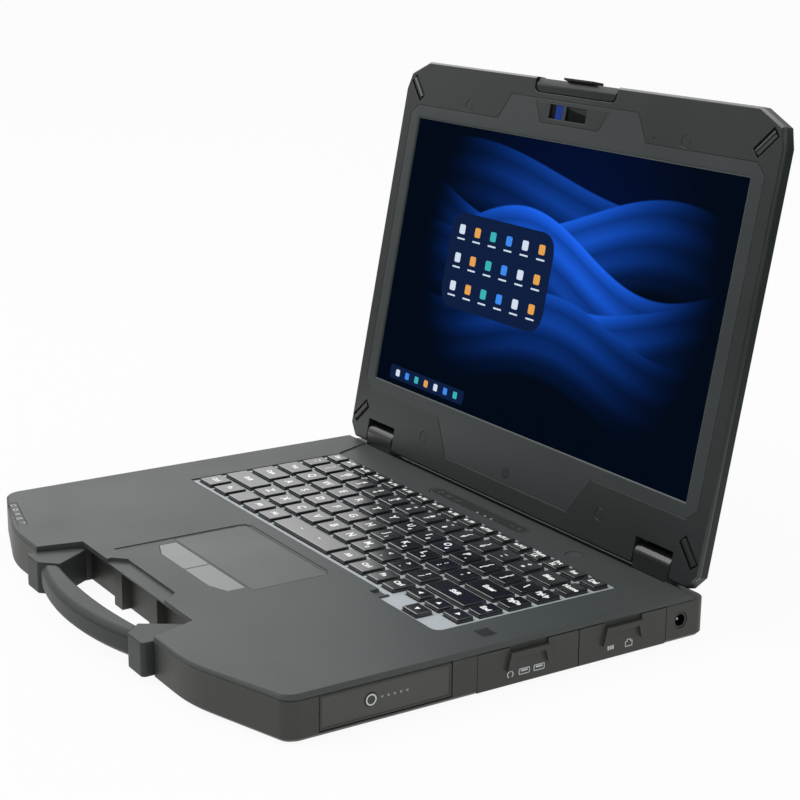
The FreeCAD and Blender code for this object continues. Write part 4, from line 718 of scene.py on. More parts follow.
class LAPTOP_OT_controls(bpy.types.Operator):
    """Dress the touchpad, its buttons, the reader, the touch strip and the status window"""

    bl_idname = "laptop.controls"
    bl_label = "Deck controls"

    def execute(self, context):
        small = sizes().small_edge
        dressed("pad", "base", "touchpad_film", touchpad_film(), small, "touchpad")
        for side in ("left", "right"):
            dressed(f"pad_button_{side}", f"button_{side}", "deck_plastic", button_plastic(), small,
                    f"touchpad_button_{side}")
        dressed("reader", "base", "gloss_black", reader_film(), small, "fingerprint_reader")
        dressed("touch_strip", "base", "gloss_black", gloss_plastic(), small / 2, "control_strip")
        dressed("power_key", "power_button", "gloss_black", deck_plastic(), small, "power_button")
        dressed("status_lens", "base", "gloss_black", deck_plastic(), small / 2, "status_window")
        strip_marks()
        power_mark()
        status_marks()
        return {"FINISHED"}


def touchpad_film():
    """Matt polyester film: like the deck round it, only finer."""
    return moulded_plastic("touchpad_film_matt", colours().deck, 0.42, 0.6 * MM, 0.003 * MM, specular=0.3)


def button_plastic():
    """Satin ABS of the touchpad's buttons: paler than the deck, with a soft sheen."""
    return moulded_plastic("button_abs_satin", linear("5E6261"), 0.32, 0.6 * MM, 0.003 * MM, specular=0.6)


def reader_film():
    """Hard-coated film of the finger reader: near black, with little shine."""
    return moulded_plastic("reader_film_hard_coated", linear("1B1D1D"), 0.4, 0.6 * MM, 0.002 * MM,
                           specular=0.3)


# Places of the marks on the deck, in millimetres.
STRIP_PLACE = (0, 94.82, 25.05)
STRIP_SIGNS = (-40, -31, -23, 34, 41)
STRIP_LAMPS = ((3.5, 91.6, 25.05), (11.3, 91.6, 25.05), (17.6, 91.6, 25.05))
READER_PLACE = (159.2, -13.38, 25.6)
SLIT_PLACE = (-87, 93.1, 25.2)
POWER_PLACE = (92, 95.62, 25.05)
STATUS_STEP = 8.2 * MM
STATUS_TURN = math.radians(-13)


def strip_marks():
    """The outline and faint signs of the touch strip, its three lamps, and the reader's pale rim."""
    width = sizes().line_width
    strip = deck_mark(*STRIP_PLACE)
    ring, sheet, bars, minus, plus = [strip @ Matrix.Translation((x * MM, 0, 0)) for x in STRIP_SIGNS]
    faint = bmesh.new()
    stroke(faint, rounded(94 * MM, 9.6 * MM, 4.4 * MM), width, strip)
    stroke(faint, disc(1.5 * MM, 32), width, ring)
    stroke(faint, rectangle(3.2 * MM, 2.4 * MM), width, sheet)
    for bar in range(3):
        polygon(faint, rectangle(0.7 * MM, (1 + bar) * MM, 1.3 * bar * MM, (bar - 2) * 0.5 * MM), bars)
    for place in (minus, plus):
        polygon(faint, rectangle(3 * MM, 0.6 * MM), place)
    polygon(faint, rectangle(0.6 * MM, 3 * MM), plus @ Matrix.Translation((0, 0, 0.01 * MM)))
    stroke(faint, rounded(8.3 * MM, 8.3 * MM, 0.5 * MM), width / 2, deck_mark(*READER_PLACE))
    polygon(faint, rectangle(2.4 * MM, 0.5 * MM), deck_mark(*SLIT_PLACE))
    printed("strip_lines", "base", faint, printed_ink("faint_ink", colours().faint_marks))
    lamps = bmesh.new()
    for place in STRIP_LAMPS:
        polygon(lamps, disc(0.75 * MM), deck_mark(*place))
    printed("strip_lamps", "base", lamps, lit_pixels("led_lens_white", "C4D4DC", 0.7))


def power_mark():
    """The broken ring and bar of a power button."""
    width = sizes().line_width
    sign = bmesh.new()
    place = deck_mark(*POWER_PLACE)
    stroke(sign, arc(2.5 * MM, 125, 290), width, place, closed=False)
    polygon(sign, rectangle(width, 2.4 * MM, 0, 1.9 * MM), place)
    ink = printed_ink("faint_ink", colours().faint_marks)
    printed("power_sign", "power_button", sign, ink)


def top_of(node):
    """A matrix on the middle of a node's upper face, with z square to it."""
    mesh = frame["nodes"][node].data
    upper = [face for face in mesh.polygons if face.normal.z > 0.9]
    area = sum(face.area for face in upper)
    middle = sum((face.center * face.area for face in upper), Vector()) / area
    way = sum((face.normal * face.area for face in upper), Vector()).normalized()
    lifted = middle + way * sizes().print_lift
    return Matrix.Translation(lifted) @ way.to_track_quat("Z", "Y").to_matrix().to_4x4()


def status_marks():
    """Five plain signs on the status window: power, charge, store, lock and radio."""
    signs = bmesh.new()
    width = 0.55 * MM
    row = top_of("status_window") @ Matrix.Rotation(STATUS_TURN, 4, "Z")
    power, charge, store, lock, radio = [
        row @ Matrix.Translation((step * STATUS_STEP, 0, 0)) for step in (-2, -1, 0, 1, 2)]
    stroke(signs, disc(1.4 * MM, 32), width, power)
    stroke(signs, rectangle(3.4 * MM, 2 * MM), width, charge)
    for up in (-0.9, 0, 0.9):
        polygon(signs, rectangle(2.8 * MM, width, 0, up * MM), store)
    stroke(signs, rectangle(2.6 * MM, 1.8 * MM, 0, -0.6 * MM), width, lock)
    bow = lock @ Matrix.Translation((0, 0.5 * MM, 0))
    stroke(signs, arc(0.8 * MM, 0, 180, 10), width, bow, closed=False)
    for reach in (0.8, 1.7):
        stroke(signs, arc(reach * MM, 45, 90, 10), width, radio, closed=False)
    polygon(signs, disc(0.35 * MM), radio @ Matrix.Translation((0, -0.4 * MM, 0)))
    printed("status_signs", "base", signs, printed_ink("mark_ink", colours().marks))


class LAPTOP_OT_sides(bpy.types.Operator):
    """Dress the battery, the port doors, the sockets and the power inlet"""

    bl_idname = "laptop.sides"
    bl_label = "Sides"

    def execute(self, context):
        small = sizes().small_edge
        dressed("battery", "battery", "battery_plastic", battery_plastic(), small, "battery_pack")
        dressed("gauge_button", "charge_button", "gloss_black", shell_plastic(), small, "charge_button")
        dressed("gauge_lamps", "battery", "lamp", lamp_lens(), small / 2, "charge_lamps")
        for name in ("front", "rear", "left"):
            dressed(f"door_{name}_panel", f"door_{name}", "case_plastic", shell_plastic(), small,
                    f"port_door_{name}")
            dressed(f"sockets_{name}", "base", "port_plastic", socket_steel(), small, f"port_block_{name}")
        dressed("inlet", "base", "port_plastic", gloss_plastic(), small, "power_inlet")
        battery_marks()
        door_marks()
        contact = bmesh.new()
        turned(contact, CONTACT_PROFILE, side_mark(*CONTACT_PLACE))
        printed("inlet_contact", "base", contact, socket_steel())
        return {"FINISHED"}


def battery_plastic():
    """The battery's own ABS: a shade paler and smoother than the case round it."""
    return moulded_plastic("battery_abs_etched", linear("484A44"), 0.42, 0.9 * MM, 0.02 * MM, specular=0.35)


def lamp_lens():
    """Frosted lamp lenses: pale and milky while they are off."""
    return moulded_plastic("lamp_lens_frosted", linear("8F948F"), 0.3, 0.5 * MM, 0.004 * MM)


def socket_steel():
    """Stamped nickel-plated steel: bright, with fine drawing lines."""
    return machined_metal("nickel_plated_steel", "B9BABC", 0.3)


# Places of the marks on the right side, in millimetres.
GAUGE_PLACE = (175.1, -90.385, 14.3)
LIP_PLACE = (174.68, -81.38, 13.7)
CONTACT_PLACE = (172.7, 101.32, 13.5)
HEADSET_PLACE = (175, -9.2, 8.2)
PLUG_PLACES = ((175, -0.6, 8.4), (175, 8.6, 8.4))
STACK_PLACE = (175, 54.5, 8.4)
JACK_PLACE = (175, 66.5, 8.6)

CONTACT_PROFILE = ((0.95 * MM, -6 * MM), (0.95 * MM, -0.3 * MM), (0.6 * MM, 0.05 * MM))
JACK_OUTLINE = ((-2.2, -1.8), (2.2, -1.8), (2.2, 0.9), (1.1, 0.9),
                (1.1, 1.9), (-1.1, 1.9), (-1.1, 0.9), (-2.2, 0.9))
LIP_RISE = 0.3 * MM
LIP_EDGE = 0.12 * MM


def battery_marks():
    """The white ring of the charge button and the raised lip round the battery's face."""
    ring = bmesh.new()
    stroke(ring, disc(2.6 * MM, 40), 0.8 * MM, side_mark(*GAUGE_PLACE))
    printed("gauge_ring", "charge_button", ring, printed_ink("mark_ink", colours().marks))
    lip = bmesh.new()
    stroke(lip, rectangle(72.6 * MM, 16.2 * MM), 1.1 * MM, side_mark(*LIP_PLACE))
    risen = bmesh.ops.extrude_face_region(lip, geom=lip.faces[:])["geom"]
    corners = [item for item in risen if isinstance(item, bmesh.types.BMVert)]
    bmesh.ops.translate(lip, vec=(LIP_RISE, 0, 0), verts=corners)
    bmesh.ops.recalc_face_normals(lip, faces=lip.faces)
    round_edges(printed("battery_lip", "battery", lip, shell_plastic()), LIP_EDGE)


def door_marks():
    """Outlines of the sockets behind the right doors, printed below their brackets."""
    width = sizes().line_width
    ink = printed_ink("mark_ink", colours().marks)
    front = bmesh.new()
    stroke(front, arc(1.7 * MM, -60, 300), width * 1.2, side_mark(*HEADSET_PLACE), closed=False)
    for place in PLUG_PLACES:
        plug = side_mark(*place)
        stroke(front, rounded(6.4 * MM, 2.9 * MM, 0.5 * MM), width, plug)
        polygon(front, rectangle(4.2 * MM, 0.9 * MM, 0, 0.4 * MM), plug)
    printed("door_front_signs", "door_front", front, ink)
    rear = bmesh.new()
    for right in (-1.5, 0, 1.5):
        polygon(rear, rectangle(1.1 * MM, 2.2 * MM, right * MM, 0), side_mark(*STACK_PLACE))
    stroke(rear, [(x * MM, y * MM) for x, y in JACK_OUTLINE], width, side_mark(*JACK_PLACE))
    printed("door_rear_signs", "door_rear", rear, ink)


class LAPTOP_OT_lid(bpy.types.Operator):
    """Dress the lid: back, bezel, surround, bumpers, plugs and latch"""

    bl_idname = "laptop.lid"
    bl_label = "Lid"

    def execute(self, context):
        edge = sizes().shell_edge
        small = sizes().small_edge
        dressed("lid_back", "lid", "case_plastic", lid_plastic(), edge, "lid_back_cover")
        dressed("lid_plateau", "lid", "case_plastic", lid_plastic(), edge, "lid_back_plate")
        dressed("bezel", "lid", "bezel_plastic", bezel_plastic(), small, "lid_bezel")
        dressed("inner_frame", "lid", "surround_plastic", surround_plastic(), small, "screen_surround")
        dressed("screw_plugs", "lid", "bezel_plastic", bezel_plastic(), small, "bezel_plugs", "surround_plug")
        dressed("bumpers", "lid", "rubber", black_rubber(), small, "corner_bumpers")
        dressed("latch", "latch", "bezel_plastic", latch_nylon(), small, "lid_latch")
        return {"FINISHED"}


def latch_nylon():
    """Moulded nylon of the latch: near black, with a dull waxy shine."""
    return moulded_plastic("latch_nylon_moulded", linear("151818"), 0.36, 0.8 * MM, 0.006 * MM)


# Places of the marks on the lid, in millimetres right of, up from and out of the hinge line.
LENS_PLACE = (8.6, 228.4, 3.57)
CAMERA_LAMP_PLACE = (2.4, 228.4, 3.57)
MICROPHONE_PLACE = (76, 223, 5.7)


class LAPTOP_OT_camera(bpy.types.Operator):
    """Dress the camera panel, its shutter and its lens, and paint the microphone hole as a black disc of
    shade
    """

    bl_idname = "laptop.camera"
    bl_label = "Camera"

    def execute(self, context):
        small = sizes().small_edge
        dressed("camera_panel", "lid", "bezel_plastic", bezel_plastic(), small, "camera_cover")
        dressed("shutter", "shutter", "blue_plastic", shutter_plastic(), small / 2, "camera_shutter")
        repaint(gloss_plastic(), "camera_module")
        rims = bmesh.new()
        stroke(rims, disc(1.5 * MM, 32), 0.7 * MM, lid_mark(*LENS_PLACE))
        polygon(rims, disc(0.8 * MM), lid_mark(*CAMERA_LAMP_PLACE))
        printed("camera_rims", "lid", rims, printed_ink("lens_rim_ink", linear("C9B4B0")))
        # Painted shade: the microphone hole is not cut; a flat black disc stands in for the dark inside of
        # it.
        hole = bmesh.new()
        polygon(hole, disc(0.6 * MM), lid_mark(*MICROPHONE_PLACE))
        printed("microphone_hole", "lid", hole, gloss_plastic())
        return {"FINISHED"}


def shutter_plastic():
    """Dyed ABS of the shutter's tab: deep blue and dull."""
    return moulded_plastic("shutter_abs_blue", colours().shutter, 0.5, 0.6 * MM, 0.006 * MM, specular=0.15)


class LAPTOP_OT_hinges(bpy.types.Operator):
    """Dress the hinge barrels and pins"""

    bl_idname = "laptop.hinges"
    bl_label = "Hinges"

    def execute(self, context):
        for side in ("left", "right"):
            dressed(f"barrel_{side}", "base", "gloss_black", barrel_paint(), sizes().shell_edge,
                    f"hinge_block_{side}")
        repaint(pin_steel(), "hinge_pins", "latch_pin")
        return {"FINISHED"}


def pin_steel():
    """Turned steel of the pins: bright, with fine tool lines."""
    return machined_metal("steel_turned", "B9BABC", 0.3)


class LAPTOP_OT_inside(bpy.types.Operator):
    """Give the parts inside the case their finishes"""

    bl_idname = "laptop.inside"
    bl_label = "Inside"

    def execute(self, context):
        repaint(solder_mask(), "main_board", "memory_module", "solid_state_drive")
        repaint(gloss_plastic(), "processor", "fan_housing", "fan_rotor")
        repaint(stamped_copper(), "heat_sink")
        return {"FINISHED"}


def solder_mask():
    """Solder mask on a circuit board: green lacquer with a soft shine."""
    return moulded_plastic("circuit_board_solder_mask", linear("1D5B3A"), 0.35, 2 * MM, 0.02 * MM)


def stamped_copper():
    """Stamped copper of the heat sink: warm and bright, with fine drawing lines."""
    return machined_metal("copper_stamped", "B87852", 0.3)


SCREW_PLACES = (
    # In millimetres: the four corners of the hatch, then the case along the back, the sides and the front.
    (-63.8, -63.7), (43.8, -63.7), (-63.8, 9.9), (43.8, 9.9),
    (-115, 97), (0, 97), (115, 97), (-140, -20), (140, 40), (-120, -125), (120, -125),
)
HEAD_SIDES = 18
HEAD_TAPER = 0.85
SOCKET_WIDTH_SHARE = 0.5
SOCKET_DEPTH_SHARE = 0.7


def screw_tree():
    """Low screw heads with a round socket, hanging under every point."""
    tree, given = new_tree("screw_heads", {"Radius": "Float", "Height": "Float", "Material": "Material"})
    radius = given.outputs["Radius"]
    height = given.outputs["Height"]
    rim = add_node(tree, "ShaderNodeMath", {0: radius, 1: HEAD_TAPER}, operation="MULTIPLY")
    depth = add_node(tree, "ShaderNodeMath", {0: height, 1: -SOCKET_DEPTH_SHARE}, operation="MULTIPLY")
    head = add_node(tree, "GeometryNodeMeshCone",
                    {"Vertices": HEAD_SIDES, "Radius Top": rim.outputs["Value"], "Radius Bottom": radius,
                     "Depth": height})
    lip = add_node(tree, "GeometryNodeExtrudeMesh",
                   {"Mesh": head.outputs["Mesh"], "Selection": head.outputs["Top"], "Offset Scale": 0.0},
                   mode="FACES")
    top = lip.outputs["Top"]
    narrow = add_node(tree, "GeometryNodeScaleElements",
                      {"Geometry": lip.outputs["Mesh"], "Selection": top, "Scale": SOCKET_WIDTH_SHARE},
                      domain="FACE")
    socket = add_node(tree, "GeometryNodeExtrudeMesh",
                      {"Mesh": narrow.outputs["Geometry"], "Selection": top,
                       "Offset Scale": depth.outputs["Value"]}, mode="FACES")
    copies = spread_copies(tree, given.outputs["Geometry"], socket.outputs["Mesh"], (math.pi, 0, 0))
    return end_tree(tree, given, copies)


def screw_steel():
    """Blackened steel of the screws: dark grey with a metal's shine."""
    return machined_metal("screw_steel_blackened", "55585A", 0.35)


class LAPTOP_OT_screws(bpy.types.Operator):
    """Set the screws of the hatch and the case on the underside"""

    bl_idname = "laptop.screws"
    bl_label = "Screws"

    def execute(self, context):
        level = min(corner[2] for corner in frame["nodes"]["base_case"].bound_box)
        points = [(x * MM, y * MM, level) for x, y in SCREW_PLACES]
        piece = grown("case_screws", screw_tree(), points, {},
                      {"Radius": sizes().screw_radius, "Height": sizes().screw_height,
                       "Material": screw_steel()})
        piece.data.polygons.foreach_set("use_smooth", [False] * len(piece.data.polygons))
        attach(piece, "base")
        return {"FINISHED"}


class LAPTOP_OT_screen(bpy.types.Operator):
    """Light the screen with blue waves, a panel of plain tiles and a short dock"""

    bl_idname = "laptop.screen"
    bl_label = "Screen"

    def execute(self, context):
        shape = bmesh.new()
        half = SCREEN_WIDTH / 2
        stand = lid_stand()
        corners = [(-half, SCREEN_LOW), (half, SCREEN_LOW),
                   (half, SCREEN_LOW + SCREEN_HEIGHT), (-half, SCREEN_LOW + SCREEN_HEIGHT)]
        face = shape.faces.new([
            shape.verts.new(stand @ Vector((x, y, SCREEN_FACE + FILM_LIFT))) for x, y in corners])
        layer = shape.loops.layers.uv.new("screen")
        aspect = SCREEN_WIDTH / SCREEN_HEIGHT
        for loop, (u, v) in zip(face.loops, ((0, 0), (aspect, 0), (aspect, 1), (0, 1))):
            loop[layer].uv = (u, v)
        printed("screen_picture", "lid", shape, screen_light())
        repaint(gloss_plastic(), "display_panel")
        screen_tiles()
        return {"FINISHED"}


SCREEN_WAVES = (
    # Height of the crest and its swing in screen heights, pace and start of the wave, and brightness.
    (0.90, 0.07, 3.1, 0.4, 0.45), (0.79, 0.10, 3.7, 2.3, 0.8), (0.67, 0.10, 4.4, 4.6, 1.0),
    (0.56, 0.09, 3.4, 1.0, 0.85), (0.44, 0.06, 4.9, 3.2, 0.5),
)
# Where the waves glow and how they shade, in screen heights, and shares of their light.
GLOW_MIDDLE = (0.95, 0.6, 0)
GLOW_SPAN = {"From Min": 0.1, "From Max": 0.8}
WAVE_RIM = 0.006
WAVE_FOLD = 0.05
WAVE_DEPTH = 0.3
FOLD_SHARE = 0.45
DUSK_SHARE = 0.4
FADING = {"To Min": 1.0, "To Max": 0.0}


def screen_light():
    """A lit display behind anti-glare film: night blue with bands of bright blue waves, and no sheen."""
    material, tree, shader = new_material("lit_display_antiglare")
    place = add_node(tree, "ShaderNodeUVMap", uv_map="screen").outputs["UV"]
    axes = add_node(tree, "ShaderNodeSeparateXYZ", {0: place}).outputs
    night = rgba(colours().screen_night)
    away = add_node(tree, "ShaderNodeVectorMath", {0: place, 1: GLOW_MIDDLE}, operation="DISTANCE")
    glow = add_node(tree, "ShaderNodeMapRange", {"Value": away.outputs["Value"], **GLOW_SPAN, **FADING},
                    interpolation_type="SMOOTHSTEP").outputs["Result"]
    dusk = add_node(tree, "ShaderNodeMath", {0: glow, 1: DUSK_SHARE}, operation="MULTIPLY")
    picture = add_node(tree, "ShaderNodeMix",
                       {"Factor": dusk.outputs["Value"], "A": night, "B": rgba(colours().screen_deep)},
                       data_type="RGBA").outputs["Result"]
    for height, swing, pace, start, level in SCREEN_WAVES:
        turn = add_node(tree, "ShaderNodeMath", {0: axes["X"], 1: pace, 2: start}, operation="MULTIPLY_ADD")
        sway = add_node(tree, "ShaderNodeMath", {0: turn.outputs["Value"]}, operation="SINE")
        crest = add_node(tree, "ShaderNodeMath",
                         {0: sway.outputs["Value"], 1: swing, 2: height}, operation="MULTIPLY_ADD")
        depth = add_node(tree, "ShaderNodeMath",
                         {0: crest.outputs["Value"], 1: axes["Y"]}, operation="SUBTRACT").outputs["Value"]
        cover = add_node(tree, "ShaderNodeMapRange", {"Value": depth, "From Max": WAVE_RIM})
        fold = add_node(tree, "ShaderNodeMath", {0: depth, 1: WAVE_FOLD}, operation="PINGPONG")
        shade = add_node(tree, "ShaderNodeMapRange",
                         {"Value": fold.outputs["Value"], "From Max": WAVE_FOLD,
                          "To Min": level, "To Max": level * FOLD_SHARE})
        fade = add_node(tree, "ShaderNodeMapRange", {"Value": depth, "From Max": WAVE_DEPTH, **FADING})
        light = add_node(tree, "ShaderNodeMath",
                         {0: shade.outputs["Result"], 1: fade.outputs["Result"]}, operation="MULTIPLY")
        share = add_node(tree, "ShaderNodeMath", {0: light.outputs["Value"], 1: glow}, operation="MULTIPLY")
        band = add_node(tree, "ShaderNodeMix",
                        {"Factor": share.outputs["Value"], "A": night, "B": rgba(colours().screen_bright)},
                        data_type="RGBA")
        picture = add_node(tree, "ShaderNodeMix",
                           {"Factor": cover.outputs["Result"], "A": picture, "B": band.outputs["Result"]},
                           data_type="RGBA").outputs["Result"]
    tree.links.new(picture, shader.inputs["Emission Color"])
    shader.inputs["Emission Strength"].default_value = 1.0
    shader.inputs["Base Color"].default_value = rgba(linear("030406"))
    shader.inputs["Roughness"].default_value = 0.3
    shader.inputs["Specular IOR Level"].default_value = 0.0
    return material


def lit_pixels(name, code, strength=1.0):
    """Lit dots under film: even light with a faint grid, drawn at 1 mm as the real dots are too fine."""
    if name in bpy.data.materials:
        return bpy.data.materials[name]
    material, tree, shader = new_material(name)
    place = add_node(tree, "ShaderNodeTexCoord").outputs["Object"]
    dots = add_node(tree, "ShaderNodeTexVoronoi", {"Vector": place, "Scale": 1 / MM})
    level = add_node(tree, "ShaderNodeMapRange",
                     {"Value": dots.outputs["Distance"], "To Min": 1.0, "To Max": 0.93})
    tone = add_node(tree, "ShaderNodeVectorMath",
                    {0: linear(code), "Scale": level.outputs["Result"]}, operation="SCALE")
    tree.links.new(tone.outputs["Vector"], shader.inputs["Emission Color"])
    shader.inputs["Emission Strength"].default_value = strength
    shader.inputs["Base Color"].default_value = rgba(linear("050608"))
    shader.inputs["Specular IOR Level"].default_value = 0.0
    return material


# What the screen shows, in millimetres: places right of and up from the hinge line, and sizes.
PANEL_MIDDLE = (-46, 128)
PANEL_SIZE = (106, 60)
PANEL_FACE = 4.58
TILE_COLUMNS = 6
TILE_ROWS = 3
TILE_STEPS = (16.5, 18)
TILE_RISE = 1.5
TILE_SIZE = (6, 6)
TILE_FACE = 4.6
TILE_PAINTS = {"pale": "D5E2F2", "blue": "3E8BF0", "teal": "3CB4B8", "amber": "E8A552"}
LINE_DROP = 6
LINE_SIZE = (8, 1)
DOCK_MIDDLE = (-98, 45)
DOCK_SIZE = (84, 9)
DOCK_TILES = 7
DOCK_STEP = 11
DOCK_TILE_SIZE = (4.4, 4.4)


def tiles(name, spots, size, face, material):
    """Flat rounded tiles on the screen, centred on spots; face tells how far out of it they lie."""
    half = Vector((*size, 0.01)) * MM / 2
    corners = [(Vector((x, y, face)) * MM - half, Vector((x, y, face)) * MM + half) for x, y in spots]
    round_off = min(size) * 0.2 * MM
    piece = blocks(name, corners, (round_off, round_off, 0.004 * MM), 0.0, material)
    piece.data.transform(lid_stand())
    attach(piece, "lid")


def screen_tiles():
    """A panel with three rows of coloured tiles, each over a short line, and a dock at the lower left."""
    panel = lit_pixels("display_panel_blue", "0E1E40")
    tiles("screen_panel", [PANEL_MIDDLE], PANEL_SIZE, PANEL_FACE, panel)
    tiles("screen_dock", [DOCK_MIDDLE], DOCK_SIZE, PANEL_FACE, panel)
    spots = [
        (PANEL_MIDDLE[0] + (column - (TILE_COLUMNS - 1) / 2) * TILE_STEPS[0],
         PANEL_MIDDLE[1] + TILE_RISE + ((TILE_ROWS - 1) / 2 - row) * TILE_STEPS[1])
        for row in range(TILE_ROWS) for column in range(TILE_COLUMNS)
    ]
    dock = [(DOCK_MIDDLE[0] + (index - (DOCK_TILES - 1) / 2) * DOCK_STEP, DOCK_MIDDLE[1])
            for index in range(DOCK_TILES)]
    kinds = len(TILE_PAINTS)
    for number, (paint, code) in enumerate(TILE_PAINTS.items()):
        lit = lit_pixels(f"display_{paint}", code)
        # The paints run backwards along every row.
        chosen = [spot for index, spot in enumerate(spots) if -(index % TILE_COLUMNS) % kinds == number]
        tiles(f"screen_tiles_{paint}", chosen, TILE_SIZE, TILE_FACE, lit)
        tiles(f"screen_dock_{paint}", dock[number::kinds], DOCK_TILE_SIZE, TILE_FACE, lit)
    lines = [(x, y - LINE_DROP) for x, y in spots]
    tiles("screen_lines", lines, LINE_SIZE, TILE_FACE, lit_pixels("display_pale", TILE_PAINTS["pale"]))


class LAPTOP_OT_stage(bpy.types.Operator):
    """Set the floor, the light and the camera of a plain white studio"""

    bl_idname = "laptop.stage"
    bl_label = "Studio"

    def execute(self, context):
        studio_floor()
        studio_world()
        area_light("key_light", place=(-0.9, -1.3, 1.7), target=(0.0, 0.0, 0.05), size=1.4, power=16)
        area_light("right_fill", place=(1.9, -0.6, 0.9), target=(0.1, 0.0, 0.05), size=1.0, power=6)
        studio_camera()
        bpy.context.scene.view_settings.view_transform = "Standard"
        return {"FINISHED"}


# Half the floor's width and the rim of the pool of light in metres, and shares of white light.
FLOOR_REACH = 30
POOL_SPAN = {"From Min": 0.45, "From Max": 0.85}
POOL_LEVELS = {"To Min": 1.0, "To Max": 0.1}
GLOW_SHARE = 0.93


def studio_floor():
    """A wide pale floor under a pool of light, white to the camera, with the laptop's shadow on it."""
    mesh = bpy.data.meshes.new("studio_floor")
    corners = [(x, y, 0) for x, y in rectangle(2 * FLOOR_REACH, 2 * FLOOR_REACH)]
    mesh.from_pydata(corners, [], [(0, 1, 2, 3)])
    floor = link_piece("studio_floor", mesh)
    material = bpy.data.materials.new("studio_paper")
    material.use_nodes = True
    tree = material.node_tree
    tree.nodes.clear()
    paper = add_node(tree, "ShaderNodeBsdfDiffuse", {"Color": rgba(linear("FFFFFF"))})
    ray = add_node(tree, "ShaderNodeLightPath").outputs
    place = add_node(tree, "ShaderNodeTexCoord").outputs["Object"]
    away = add_node(tree, "ShaderNodeVectorMath", {0: place}, operation="LENGTH")
    pool = add_node(tree, "ShaderNodeMapRange", {"Value": away.outputs["Value"], **POOL_SPAN, **POOL_LEVELS})
    level = add_node(tree, "ShaderNodeMath",
                     {0: pool.outputs["Result"], 1: ray["Is Camera Ray"]}, operation="MAXIMUM")
    glow = add_node(tree, "ShaderNodeEmission", {"Color": (1, 1, 1, 1), "Strength": level.outputs["Value"]})
    seen = add_node(tree, "ShaderNodeMath",
                    {0: ray["Is Camera Ray"], 1: ray["Is Glossy Ray"]}, operation="MAXIMUM")
    share = add_node(tree, "ShaderNodeMath", {0: seen.outputs["Value"], 1: GLOW_SHARE}, operation="MULTIPLY")
    both = add_node(tree, "ShaderNodeMixShader",
                    {"Fac": share.outputs["Value"], 1: paper.outputs["BSDF"], 2: glow.outputs["Emission"]})
    add_node(tree, "ShaderNodeOutputMaterial", {"Surface": both.outputs["Shader"]})
    mesh.materials.append(material)


WALL_BORDERS = (
    # The way past the right front, the back and the left front border, from where to where along it the
    # wall fades, and what is left of it there.
    ((0.55, -0.83, 0), 0.0, 0.25, 0.05),
    ((0.5, 0.86, 0), -0.01, 0.06, 0.4),
    ((-0.37, -0.93, 0), 0.2, 0.6, 0.55),
)
WALL_RISE = {"From Min": 0.28, "From Max": 0.4, "To Min": 1.2, "To Max": 2.8}
ROOM_LEVEL = 0.55


def studio_world():
    """One bright wall at the laptop's left in a dim room for the sheens, and plain white to the camera."""
    world = bpy.data.worlds.new("studio_walls")
    bpy.context.scene.world = world
    world.use_nodes = True
    tree = world.node_tree
    tree.nodes.clear()
    ray = add_node(tree, "ShaderNodeLightPath").outputs
    way = add_node(tree, "ShaderNodeTexCoord").outputs["Generated"]
    up = add_node(tree, "ShaderNodeSeparateXYZ", {0: way}).outputs["Z"]
    wall = add_node(tree, "ShaderNodeMapRange", {"Value": up, **WALL_RISE}).outputs["Result"]
    for border, first, last, least in WALL_BORDERS:
        past = add_node(tree, "ShaderNodeVectorMath", {0: way, 1: border}, operation="DOT_PRODUCT")
        fade = add_node(tree, "ShaderNodeMapRange",
                        {"Value": past.outputs["Value"], "From Min": first, "From Max": last,
                         "To Min": 1.0, "To Max": least})
        wall = add_node(tree, "ShaderNodeMath",
                        {0: wall, 1: fade.outputs["Result"]}, operation="MULTIPLY").outputs["Value"]
    mirrored = add_node(tree, "ShaderNodeMath",
                        {0: ray["Is Glossy Ray"], 1: ray["Is Transmission Ray"]}, operation="MAXIMUM")
    lit = add_node(tree, "ShaderNodeMix", {"Factor": mirrored.outputs["Value"], "A": ROOM_LEVEL, "B": wall})
    level = add_node(tree, "ShaderNodeMath",
                     {0: lit.outputs["Result"], 1: ray["Is Camera Ray"]}, operation="MAXIMUM")
    light = add_node(tree, "ShaderNodeBackground",
                     {"Color": (1, 1, 1, 1), "Strength": level.outputs["Value"]})
    add_node(tree, "ShaderNodeOutputWorld", {"Surface": light.outputs["Background"]})


def area_light(name, place, target, size, power):
    lamp = bpy.data.lights.new(name, "AREA")
    lamp.size = size
    lamp.energy = power
    holder = bpy.data.objects.new(name, lamp)
    bpy.context.collection.objects.link(holder)
    way = Vector(target) - Vector(place)
    holder.matrix_world = Matrix.Translation(place) @ way.to_track_quat("-Z", "Y").to_matrix().to_4x4()


CAMERA_EYE = Vector((840.6, -508.88, 374.9)) * MM
CAMERA_TARGET = Vector((-231.8, 188.66, 26.0)) * MM
CAMERA_ROLL = math.radians(-0.58)
FOCAL_PIXELS = 1814.56
PHOTO_PIXELS = 800
SENSOR_WIDTH = 36


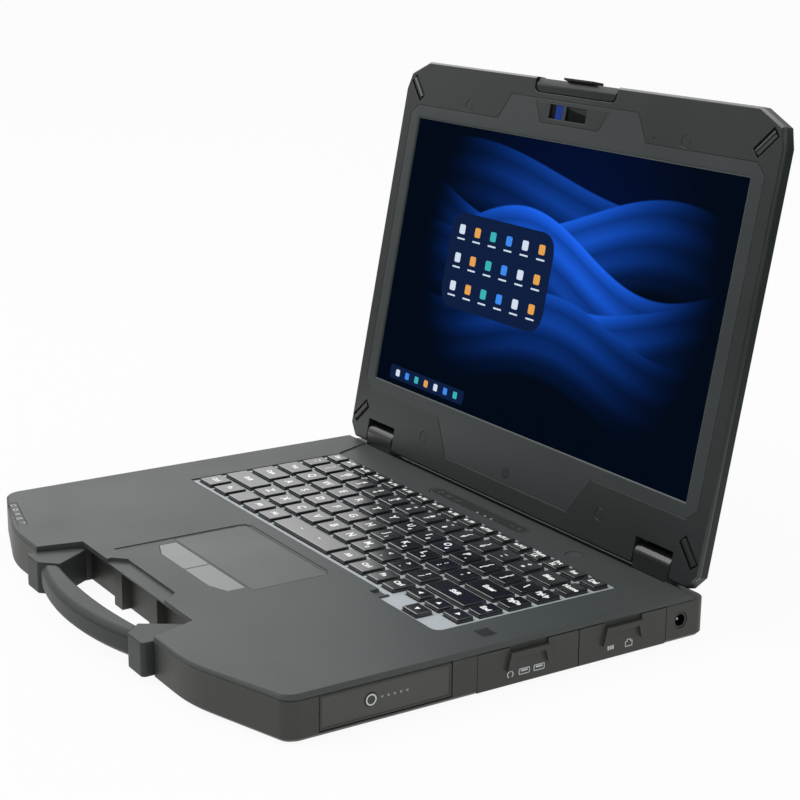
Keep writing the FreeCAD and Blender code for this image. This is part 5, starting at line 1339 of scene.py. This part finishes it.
def studio_camera():
    """The camera where the photograph was taken from, looking down on the laptop from its right front."""
    back = (CAMERA_EYE - CAMERA_TARGET).normalized()
    right = Vector((0, 0, 1)).cross(back).normalized()
    up = back.cross(right)
    across = right * math.cos(CAMERA_ROLL) - up * math.sin(CAMERA_ROLL)
    upward = right * math.sin(CAMERA_ROLL) + up * math.cos(CAMERA_ROLL)
    lens = bpy.data.cameras.new("photo_camera")
    lens.sensor_fit = "HORIZONTAL"
    lens.sensor_width = SENSOR_WIDTH
    lens.lens = FOCAL_PIXELS * SENSOR_WIDTH / PHOTO_PIXELS
    lens.clip_start = 0.01
    camera = bpy.data.objects.new("photo_camera", lens)
    bpy.context.collection.objects.link(camera)
    turn = Matrix((across, upward, back)).transposed().to_4x4()
    camera.matrix_world = Matrix.Translation(CAMERA_EYE) @ turn
    bpy.context.scene.camera = camera


OPERATORS = (
    LAPTOP_OT_base, LAPTOP_OT_handle, LAPTOP_OT_keyboard, LAPTOP_OT_controls, LAPTOP_OT_sides,
    LAPTOP_OT_lid, LAPTOP_OT_camera, LAPTOP_OT_hinges, LAPTOP_OT_inside, LAPTOP_OT_screws, LAPTOP_OT_screen,
    LAPTOP_OT_stage,
)


class LAPTOP_PT_looks(bpy.types.Panel):
    """Lists the steps that dress the laptop"""

    bl_idname = "LAPTOP_PT_looks"
    bl_label = "Rugged laptop"
    bl_space_type = "VIEW_3D"
    bl_region_type = "UI"
    bl_category = "Laptop"

    def draw(self, context):
        for step in OPERATORS:
            self.layout.operator(step.bl_idname)
        for group in (context.scene.laptop_sizes, context.scene.laptop_colours):
            for name in group.__annotations__:
                self.layout.prop(group, name)


CLASSES = (LaptopSizes, LaptopColours) + OPERATORS + (LAPTOP_PT_looks,)


def register():
    for item in CLASSES:
        bpy.utils.register_class(item)
    bpy.types.Scene.laptop_sizes = bpy.props.PointerProperty(type=LaptopSizes)
    bpy.types.Scene.laptop_colours = bpy.props.PointerProperty(type=LaptopColours)


def unregister():
    del bpy.types.Scene.laptop_colours
    del bpy.types.Scene.laptop_sizes
    for item in reversed(CLASSES):
        bpy.utils.unregister_class(item)


def main():
    """Dresses every piece in order."""
    register()
    for step in OPERATORS:
        family, name = step.bl_idname.split(".")
        getattr(getattr(bpy.ops, family), name)()
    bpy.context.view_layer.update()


if __name__ == "__main__":
    main()
